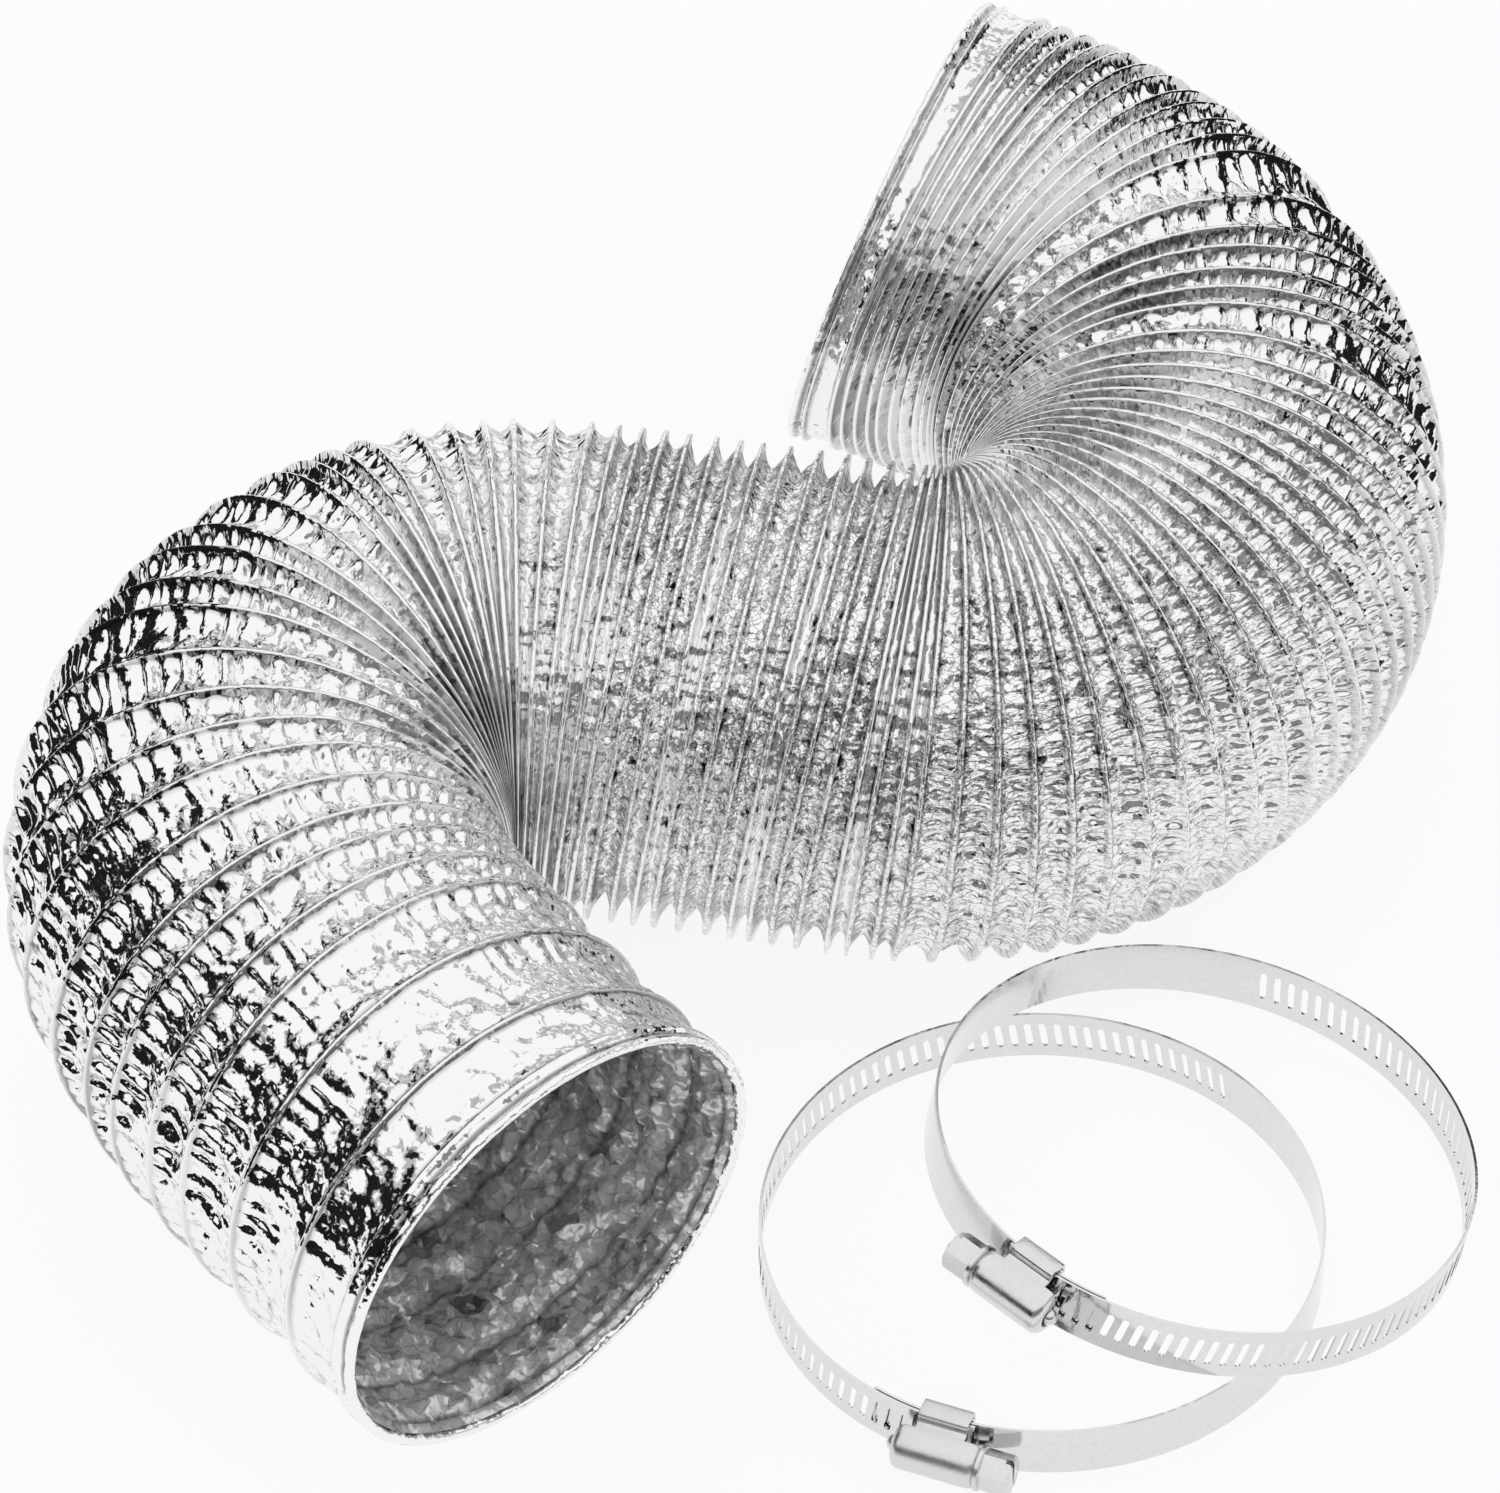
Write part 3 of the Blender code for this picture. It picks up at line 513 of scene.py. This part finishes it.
def make_outer(surface):
    stations, angles, points, shade, rough, radius = outer_foil()
    front_at, front = rim_rows(angles, 0.0, 1)
    rear_at, rear = rim_rows(angles, LENGTH, -1)
    whole = np.vstack([front, points, rear[::-1]])
    whole[..., 2] = np.maximum(whole[..., 2], 0.1)
    order = np.concatenate([np.zeros(len(front)), stations, np.full(len(rear), LENGTH)])
    true_stations = np.concatenate([front_at, stations, rear_at[::-1]])
    places = straight_places(true_stations, angles)
    rim_shade, rim_rough = np.ones(front.shape[:2]), np.full(front.shape[:2], 0.5)
    rim_shade[-4:-2] = 0.35      # painted shade in the groove behind the lip
    table = (order, whole, places, np.vstack([rim_shade, shade, rim_shade[::-1]]),
             np.vstack([rim_rough, rough, rim_rough]))
    cut_up("outer_foil_", "outer_sleeve_", surface, table, False)
    print("outer rows", len(order), "triangles", 2 * COLUMNS * len(order))
    return stations, angles, radius


WIRE_DEPTH = 1.9                 # of a rim's wire, from the duct's end
WIRE_RING = 52.4                 # radius of its middle line
WIRE_RADIUS = 0.6
WIRE_COLUMNS = 128
WIRE_SIDES = 8
LINER_SPACING = 1.1
FLARE = 1.6                      # how far the liner narrows behind its mouth
LINER_BELOW = 0.5                # the liner's least distance inside the outer foil


def make_liner(surface, stations, angles, radius):
    """The inner foil follows the outer one from inside, with larger dents of its own."""
    keep = [0]
    for row, station in enumerate(stations):
        if station - stations[keep[-1]] >= LINER_SPACING or (row and station in RIDGES):
            keep.append(row)
    keep = np.array(keep)
    angles, stations, radius = angles[::2], stations[keep], radius[keep][:, ::2]
    neighbours = np.minimum(np.roll(radius, 1, 1), np.roll(radius, -1, 1))
    radius = np.minimum(radius, 0.5 * (radius + neighbours)) - LINER_BELOW
    radius = np.minimum(radius, RIDGE - 1.7)
    dents = crumple_table(stations, angles, 1.7)
    from_end = np.minimum(stations, LENGTH - stations)
    flare = FLARE * smooth(from_end, 1, 7) * (1 - smooth(from_end, 7, 16))
    radius = radius - 1.2 * np.clip(dents + 0.3, 0, 3) * smooth(from_end, 3, 8)[:, None] - flare[:, None]
    mouths = [1.6, 2.6, 3.6]
    front_at, rear_at = np.array(mouths), LENGTH - np.array(mouths)[::-1]
    mouth_radius = np.array([51.4, 50.9, 50.3])
    order = np.concatenate([front_at, stations, rear_at])
    table_radius = np.vstack([np.tile(mouth_radius[:, None], len(angles)), radius,
                              np.tile(mouth_radius[::-1, None], len(angles))])
    points = rings(order, angles, table_radius)[0]
    points[..., 2] = np.maximum(points[..., 2], 0.4)
    # painted shade: the liner turns a little darker between 6 and 12 mm in from each mouth, and a dark line
    # lies along each ridge
    shade = np.tile(np.interp(order, [0, 6, 12, LENGTH - 12, LENGTH - 6, LENGTH],
                              [1, 1, 0.9, 0.9, 1, 1])[:, None], len(angles))
    nearest = np.abs(order[:, None] - RIDGES).min(1)
    shade = shade * (1 - 0.6 * np.exp(-(nearest / 0.7) ** 2))[:, None]
    table = (order, points, straight_places(order, angles), shade, np.ones(shade.shape))
    cut_up("inner_foil_", "inner_liner_", surface, table, True)
    print("liner rows", len(order), "triangles", 2 * len(angles) * len(order))


# ------------------------------------------------------------------ the clamps
# Each is built round its own Z axis with its housing on +X, as in the CAD. A sheet that follows
# the band is drawn flat, x along the band and z outwards, and rolled up.
Clamp = namedtuple("Clamp", "name diameter slotted_turn housing_at flipped")
FRONT_CLAMP = Clamp("front_clamp", 121.0, 207, -111, False)
REAR_CLAMP = Clamp("rear_clamp", 118.5, 212, -130.5, True)
FRONT_CLAMP_AT = Vector((64.86, -120.88))
REAR_CLAMP_STEP = Vector((33.5, 14.0))               # from the front clamp's centre
GAP = 0.3                        # between pieces that touch
BAND_WIDTH = 12.7
BAND = 0.6
SLOT_PITCH = 3.175
SLOT_LENGTH = 7.0
SLOT_WIDTH = 1.5
SLOT_SLANT = 9.0
SLOT_ARC = 6                     # facets of a slot's round end
PLAIN_STEP = 2.5
SCREW_RADIUS = 3.9
SCREW_LENGTH = 15.0
SCREW_SIDES = 48
THREAD_PITCH = 3.175
THREAD_DEPTH = 0.8
NECK_RADIUS = 3.0
COLLAR_RADIUS = 5.0
COLLAR = 1.2
HEAD_ACROSS = 7.94
HEAD_LENGTH = 6.5
HEAD_SLOT = 1.2
HEAD_SLOT_DEPTH = 1.6
TIP_RADIUS = 1.8
TIP_LENGTH = 3.2
SCREW_PLAY = 0.35
PLATE = 0.8
BARREL_LENGTH = 18.0
BARREL_ROUND = 1.6               # length over which the barrel's ends are drawn in
SHOULDER_RISE = 0.9
FLANGE_LENGTH = 11.0
SADDLE = 1.0
SADDLE_LENGTH = 12.0
LIP = 2.6
EDGE_PLAY = 0.4
TONGUE = 8.0
TAIL = 6.5
SMOOTH_ANGLE = math.radians(35)


def inner_radius(clamp):
    return clamp.diameter / 2 - GAP - 2 * BAND


def screw_height():
    return 2 * BAND + 2 * GAP + SCREW_RADIUS


def make_item(name, bm, matrix, surface):
    """An object from a mesh in millimetres, in its place in the frame."""
    mesh = bpy.data.meshes.new(name)
    bmesh.ops.recalc_face_normals(bm, faces=bm.faces)
    bm.to_mesh(mesh)
    bm.free()
    mesh.transform(Matrix.Scale(MM, 4) @ matrix)
    mesh.materials.append(surface)
    item = bpy.data.objects.new(name, mesh)
    scene.collection.objects.link(item)
    return item


def settle(item):
    """Makes an object's modifiers part of its mesh, and shades it smooth up to its sharp edges."""
    mesh = bpy.data.meshes.new_from_object(item.evaluated_get(bpy.context.evaluated_depsgraph_get()))
    mesh.name = item.name
    item.modifiers.clear()
    item.data = mesh
    mesh.shade_smooth()
    mesh.set_sharp_from_angle(angle=SMOOTH_ANGLE)
    return item


def thicken(item, thickness, edge=0.0):
    solid = item.modifiers.new("sheet", "SOLIDIFY")
    solid.thickness = thickness * MM
    solid.offset = 0.0
    solid.use_even_offset = True
    if edge:
        bevel = item.modifiers.new("edges", "BEVEL")
        bevel.width = edge * MM
        bevel.segments = 2
        bevel.limit_method = "ANGLE"
        bevel.angle_limit = math.radians(50)
    return settle(item)


def slot_outline(centre):
    """A long slot with round ends, leaning a little along the band."""
    half = (SLOT_LENGTH - SLOT_WIDTH) / 2
    arc = np.linspace(0, math.pi, SLOT_ARC + 1)
    x = np.concatenate([np.cos(arc), -np.cos(arc)]) * SLOT_WIDTH / 2
    y = np.concatenate([half + np.sin(arc) * SLOT_WIDTH / 2, -half - np.sin(arc) * SLOT_WIDTH / 2])
    turn = math.radians(SLOT_SLANT)
    return list(zip(centre + x * math.cos(turn) + y * math.sin(turn),
                    y * math.cos(turn) - x * math.sin(turn)))


def flat_sheet(stations, width, slotted_from):
    bm = bmesh.new()
    for left, right in zip(stations, stations[1:]):
        outlines = [[(left, -width / 2), (right, -width / 2), (right, width / 2), (left, width / 2)]]
        if slotted_from <= left and right < stations[-1]:
            outlines.append(slot_outline((left + right) / 2))
        edges = []
        for outline in outlines:
            corners = [bm.verts.new((x, y, 0)) for x, y in outline]
            edges += [bm.edges.new(pair) for pair in zip(corners, corners[1:] + corners[:1])]
        bmesh.ops.triangle_fill(bm, use_beauty=True, edges=edges)
    bmesh.ops.remove_doubles(bm, verts=bm.verts, dist=0.001)
    return bm


def roll_up(bm, clamp, depth):
    """Rolls a flat sheet round the clamp. One turn climbs by the band and a gap, to lap itself."""
    base = inner_radius(clamp)
    for vertex in bm.verts:
        angle = vertex.co.x / base
        radius = base + (BAND + GAP) / (2 * math.pi) * angle + depth
        vertex.co = (radius * math.cos(angle), radius * math.sin(angle), vertex.co.y)
    return bm


def make_band(clamp, ring, surface):
    """The band: a tongue under the housing, a plain half, and the slotted end over the tongue."""
    around = 2 * math.pi * inner_radius(clamp)
    start, end = -(BARREL_LENGTH / 2 + TONGUE), around + TAIL
    slots = round(around * clamp.slotted_turn / 360 / SLOT_PITCH)
    first_slot = end - (slots + 0.5) * SLOT_PITCH
    stations = [*np.linspace(start, first_slot, round((first_slot - start) / PLAIN_STEP)),
                *(first_slot + SLOT_PITCH * np.arange(1, slots + 1)), end]
    flat = flat_sheet(stations, BAND_WIDTH, first_slot)
    return thicken(make_item(clamp.name + "_band_fine", roll_up(flat, clamp, BAND / 2), ring, surface),
                   BAND)


def make_saddle(clamp, ring, surface):
    flat = flat_sheet(list(np.linspace(-SADDLE_LENGTH / 2, SADDLE_LENGTH / 2, 13)), BAND_WIDTH, math.inf)
    rolled = roll_up(flat, clamp, -GAP - SADDLE / 2)
    return thicken(make_item(clamp.name + "_saddle_fine", rolled, ring, surface), SADDLE, 0.15)


def rounded(points, radius, steps=4):
    """A line of points with its corners turned into short curves."""
    points = [np.array(point, float) for point in points]
    line = [points[0]]
    for before, corner, after in zip(points, points[1:], points[2:]):
        reach = [min(radius, 0.45 * np.linalg.norm(other - corner)) for other in (before, after)]
        start = corner + (before - corner) / np.linalg.norm(before - corner) * reach[0]
        end = corner + (after - corner) / np.linalg.norm(after - corner) * reach[1]
        for share in np.linspace(0, 1, steps + 1):
            line.append((1 - share) ** 2 * start + 2 * share * (1 - share) * corner + share ** 2 * end)
    return line + [points[-1]]


def make_housing(clamp, seat, surface):
    """Sheet housing: a barrel with drawn-in ends on a shorter flange folded round the saddle."""
    barrel = SCREW_RADIUS + SCREW_PLAY + PLATE / 2
    leg = BAND_WIDTH / 2 + EDGE_PLAY + PLATE / 2
    foot = -(SADDLE + 2 * GAP + (SADDLE_LENGTH / 2) ** 2 / (2 * inner_radius(clamp)) + PLATE / 2)
    shoulder = 2 * BAND + 2 * GAP + PLATE / 2
    side = rounded([(leg - LIP, foot), (leg, foot), (leg, shoulder), (barrel + 0.5, shoulder),
                    (barrel, shoulder + 1.6 * SHOULDER_RISE), (barrel, screw_height())], 1.1)
    arc = np.linspace(0, math.pi, 25)[1:-1]
    top = [np.array((barrel * math.cos(a), screw_height() + barrel * math.sin(a))) for a in arc]
    profile = np.array(side + top + [point * (-1, 1) for point in reversed(side)])
    covered = profile[:, 1] > screw_height() - SCREW_RADIUS / 2
    half, flange = BARREL_LENGTH / 2, FLANGE_LENGTH / 2
    ends = half - BARREL_ROUND * (1 - np.sin(np.linspace(0, math.pi / 2, 6)))
    stations = [*-ends[::-1], -flange, *np.linspace(-flange, flange, 7)[1:-1], flange, *ends]
    bm = bmesh.new()
    rows = []
    for x in stations:
        drawn = max(0.0, abs(x) - (half - BARREL_ROUND)) / BARREL_ROUND
        depth = (barrel - TIP_RADIUS - SCREW_PLAY - PLATE / 2) if x < 0 else 0.9
        shrink = 1 - depth / barrel * (1 - math.sqrt(max(0.0, 1 - drawn ** 2)))
        rows.append([bm.verts.new((x, y * shrink, screw_height() + (z - screw_height()) * shrink))
                     for y, z in profile])
    for i, (x, after) in enumerate(zip(stations, stations[1:])):
        for j in range(len(profile) - 1):
            if abs(x + after) / 2 < flange or (covered[j] and covered[j + 1]):
                bm.faces.new((rows[i][j], rows[i][j + 1], rows[i + 1][j + 1], rows[i + 1][j]))
    bmesh.ops.delete(bm, geom=[v for v in bm.verts if not v.link_faces], context="VERTS")
    return thicken(make_item(clamp.name + "_housing_fine", bm, seat, surface), PLATE, 0.2)


def turned(profile, sides):
    """A solid turned round X from points of x and radius."""
    bm = bmesh.new()
    turn = np.arange(sides) / sides * 2 * math.pi
    rows = [[bm.verts.new((x, r * math.cos(a), r * math.sin(a))) for a in turn] for x, r in profile]
    for near, far in zip(rows, rows[1:]):
        for i in range(sides):
            bm.faces.new((near[i], near[i - 1], far[i - 1], far[i]))
    bm.faces.new(rows[0])
    bm.faces.new(rows[-1])
    return bm, rows


def make_screw(clamp, axis, surface):
    """Worm screw along X: round tip, threaded worm, neck, collar and slotted hexagon head."""
    worm_start = -BARREL_LENGTH / 2 + PLATE + GAP
    worm_end = worm_start + SCREW_LENGTH
    collar_at = BARREL_LENGTH / 2 + GAP
    head_at = collar_at + COLLAR
    end = head_at + HEAD_LENGTH
    nose = np.linspace(0.1, math.pi / 2, 7)
    tip = [(worm_start - TIP_LENGTH * 0.45 - TIP_LENGTH * 0.55 * math.cos(a), TIP_RADIUS * math.sin(a))
           for a in nose] + [(worm_start, TIP_RADIUS)]
    worm = [(x, SCREW_RADIUS) for x in np.arange(worm_start + 0.01, worm_end, 0.3)]
    head = [(head_at, 4.9), (head_at + 0.01, 4.7), (end - 0.9, 4.7), (end - 0.45, 4.4),
            (end - 0.15, 3.9), (end, 3.4)]
    profile = tip + worm + [(worm_end, NECK_RADIUS), (collar_at, NECK_RADIUS), (collar_at, COLLAR_RADIUS - 0.3),
                            (collar_at + 0.2, COLLAR_RADIUS), (head_at - 0.2, COLLAR_RADIUS),
                            (head_at - 0.02, COLLAR_RADIUS - 0.3)] + head
    bm, rows = turned(profile, SCREW_SIDES)
    for (x, radius), row in zip(profile, rows):
        for i, vertex in enumerate(row):
            angle = i / SCREW_SIDES * 2 * math.pi
            if x >= head_at:
                flat = (angle % (math.pi / 3)) - math.pi / 6
                limit = min(radius, HEAD_ACROSS / 2 / math.cos(flat))
            elif worm_start < x < worm_end:
                wave = 0.5 + 0.5 * math.cos(2 * math.pi * (x - worm_start) / THREAD_PITCH - angle)
                limit = SCREW_RADIUS - THREAD_DEPTH * (1 - wave) ** 2
            else:
                continue
            vertex.co.y, vertex.co.z = limit * math.cos(angle), limit * math.sin(angle)
    screw = make_item(clamp.name + "_screw_fine", bm, axis, surface)
    cutter_mesh = bmesh.new()
    bmesh.ops.create_cube(cutter_mesh, size=1.0, matrix=Matrix.Translation((end, 0, 0)) @ Matrix.Diagonal(
        (2 * HEAD_SLOT_DEPTH, 3 * HEAD_ACROSS, HEAD_SLOT, 1)))
    cutter = make_item("slot_cutter", cutter_mesh, axis, surface)
    cut = screw.modifiers.new("slot", "BOOLEAN")
    cut.operation = "DIFFERENCE"
    cut.object = cutter
    settle(screw)
    bpy.data.objects.remove(cutter)
    return screw


def make_clamp(clamp, placement, steel, plated):
    flip = Matrix.Rotation(math.pi, 4, "X") if clamp.flipped else Matrix.Identity(4)
    ring = placement @ Matrix.Rotation(math.radians(clamp.housing_at), 4, "Z") @ flip
    # At the housing: x along the band, y across it, z outwards.
    seat = ring @ Matrix(((0, 0, 1, inner_radius(clamp)), (1, 0, 0, 0), (0, 1, 0, 0), (0, 0, 0, 1)))
    axis = seat @ Matrix.Translation((0, 0, screw_height()))
    dress(make_band(clamp, ring, steel), clamp.name + "_band", clamp.name)
    dress(make_saddle(clamp, ring, steel), clamp.name + "_saddle", clamp.name)
    dress(make_housing(clamp, seat, plated), clamp.name + "_housing", clamp.name)
    dress(make_screw(clamp, axis, plated), clamp.name + "_screw",
          clamp.name + "_screw")


def lying_placement(clamp, centre):
    """On the floor. The housing stands out past the band, so the ring tips a little."""
    drop = EDGE_PLAY + PLATE
    turn = math.radians(clamp.housing_at)
    axis = Vector((math.cos(turn), math.sin(turn), 0)).cross(Vector((0, 0, 1)))
    height = BAND_WIDTH / 2 + drop / 2 + GAP / 2
    return (Matrix.Translation((*centre, height))
            @ Matrix.Rotation(math.asin(drop / clamp.diameter), 4, axis))


def leaning_placement(clamp, lower, lower_centre, step):
    """Far edge on the floor, and the near side on the other clamp's band."""
    low, high = lower.diameter / 2, clamp.diameter / 2
    chord = (step.length ** 2 + low ** 2 - high ** 2) / (2 * step.length)
    rise = BAND_WIDTH + EDGE_PLAY + PLATE + 2 * GAP
    tilt = math.asin(rise / (step.length - chord + high))
    centre = lower_centre + step
    axis = Vector((step.x, step.y, 0)).normalized().cross(Vector((0, 0, 1)))
    height = high * math.sin(tilt) + BAND_WIDTH / 2 * math.cos(tilt) + GAP
    return Matrix.Translation((*centre, height)) @ Matrix.Rotation(-tilt, 4, axis)


def make_rim_wires(surface):
    """The end turns of the wire, inside the two rims."""
    around = np.arange(WIRE_COLUMNS) / WIRE_COLUMNS * 2 * math.pi
    for name, station, body in (("front", WIRE_DEPTH, "front_end"),
                                ("rear", LENGTH - WIRE_DEPTH, "rear_end")):
        centre, across, up, along = (part[0] for part in section_frames([station]))
        outwards = across * np.cos(around)[:, None] + up * np.sin(around)[:, None]
        turn = np.linspace(0, 2 * math.pi, WIRE_SIDES + 1)[:, None, None]
        points = (centre + outwards * (WIRE_RING + WIRE_RADIUS * np.cos(turn))
                  + along * WIRE_RADIUS * np.sin(turn))
        plain = np.ones(points.shape[:2])
        wire = skin("wire_" + name, points, points, plain, plain)
        wire.data.materials.append(surface)
        dress(wire, "rim_wire_" + name, body)


# the last number sets how dark the painted crease shade is
outer = foil_material("outer_foil", (0.92, 0.925, 0.93), 1.0, 0.1, (0.42, 0.95), (0.28, 0.22), 0.9)
inner = foil_material("inner_foil", (0.96, 0.965, 0.97), 0.35, 0.18, (0.18, 0.5), (0.45, 0.35), 0.3)
steel = brushed_metal("stainless_band", (0.82, 0.82, 0.815), 0.1, 900.0, 0.1)
plated = brushed_metal("plated_steel", (0.80, 0.80, 0.80), 0.26, 1500.0, 0.3)
wire_steel = brushed_metal("spring_wire", (0.62, 0.62, 0.64), 0.3, 900.0, 0.2)
make_liner(inner, *make_outer(outer))
make_rim_wires(wire_steel)
for clamp, placement in ((FRONT_CLAMP, lying_placement(FRONT_CLAMP, FRONT_CLAMP_AT)),
                         (REAR_CLAMP, leaning_placement(REAR_CLAMP, FRONT_CLAMP, FRONT_CLAMP_AT,
                                                        REAR_CLAMP_STEP))):
    make_clamp(clamp, placement, steel, plated)

# ------------------------------------------------------------------ stage, light and camera


def stage_plane(name, extent, height):
    mesh = bpy.data.meshes.new(name)
    corners = [(-extent, -extent, height), (extent, -extent, height), (extent, extent, height),
               (-extent, extent, height)]
    mesh.from_pydata(corners, [], [(0, 1, 2, 3)])
    item = bpy.data.objects.new(name, mesh)
    scene.collection.objects.link(item)
    return item


def shown_or_mirrored(graph):
    """1 for what the camera or a mirror sees, 0 for light that falls on things."""
    path = graph.node("LightPath")
    return graph.math("MAXIMUM", path.outputs["Is Camera Ray"], path.outputs["Is Glossy Ray"])


def floor_material():
    made, graph, shader = new_material("floor")
    made.node_tree.nodes.remove(shader)
    diffuse = graph.node("BsdfDiffuse")
    diffuse.inputs["Color"].default_value = (0.9, 0.9, 0.9, 1)
    glow = graph.node("Emission")
    mix = graph.node("MixShader")
    graph.put(mix.inputs[0], graph.math("MULTIPLY", shown_or_mirrored(graph), 0.9))
    graph.put(mix.inputs[1], diffuse.outputs[0])
    graph.put(mix.inputs[2], glow.outputs[0])
    graph.put(made.node_tree.nodes["Material Output"].inputs[0], mix.outputs[0])
    return made


def studio_world():
    """A white room with a grey band round its walls and a darker front, which the foil mirrors."""
    made = bpy.data.worlds.new("studio")
    scene.world = made
    made.use_nodes = True
    made.node_tree.nodes.clear()
    graph = Graph(made.node_tree)
    background = graph.node("Background")
    split = graph.node("SeparateXYZ")
    graph.put(split.inputs[0], graph.node("TexCoord").outputs["Generated"])
    x, y, z = split.outputs
    front = graph.math("MULTIPLY", graph.ramp(y, -0.5, -0.7), graph.ramp(z, 0.75, 0.5))
    band = graph.math("MULTIPLY", graph.ramp(z, 0.14, 0.24), graph.ramp(z, 0.56, 0.44))
    level = graph.math("MINIMUM", graph.ramp(front, 0.0, 1.0, 1.0, 0.25), graph.ramp(band, 0.0, 1.0, 1.0, 0.5))
    camera_ray = graph.node("LightPath").outputs["Is Camera Ray"]
    graph.put(background.inputs["Color"], graph.math("MAXIMUM", camera_ray, level))
    graph.put(graph.node("OutputWorld").inputs[0], background.outputs[0])


CARDS = [((-0.29, -0.10), (-0.14, 0.14), 0.06, 0.17), ((-0.30, -0.30), (-0.29, -0.10), 0.04, 0.17),
         ((-0.30, -0.30), (-0.12, -0.42), 0.05, 0.22), ((0.28, 0.00), (0.15, 0.28), 0.06, 0.17)]
#                                                            from, to, foot and head, in metres


def black_cards():
    """Black boards beside the two bends. Only mirrors see them, and they give the foil its blacks."""
    made, graph, shader = new_material("card")
    made.node_tree.nodes.remove(shader)
    glow = graph.node("Emission")
    glow.inputs["Color"].default_value = (0.01, 0.01, 0.01, 1)
    graph.put(made.node_tree.nodes["Material Output"].inputs[0], glow.outputs[0])
    for index, (start, end, foot, head) in enumerate(CARDS):
        mesh = bpy.data.meshes.new("card")
        corners = [(*start, foot), (*end, foot), (*end, head), (*start, head)]
        mesh.from_pydata(corners, [], [(0, 1, 2, 3)])
        mesh.materials.append(made)
        card = bpy.data.objects.new(f"card_{index}", mesh)
        scene.collection.objects.link(card)
        card.visible_camera = False
        card.visible_diffuse = False
        card.visible_shadow = False


def make_camera():
    target = Vector((2.75, -20.67, 54)) * MM
    place = Vector((2.75, -1722.6, 1816.3)) * MM
    lens = bpy.data.cameras.new("camera")
    lens.lens = 273.06
    lens.sensor_width = 36.0
    lens.clip_end = 50
    camera = bpy.data.objects.new("camera", lens)
    scene.collection.objects.link(camera)
    camera.location = place
    camera.rotation_mode = "QUATERNION"
    camera.rotation_quaternion = (target - place).to_track_quat("-Z", "Y")
    scene.camera = camera


stage_plane("floor", 8, -0.0002).data.materials.append(floor_material())
studio_world()
black_cards()
make_camera()
scene.view_settings.view_transform = "Standard"
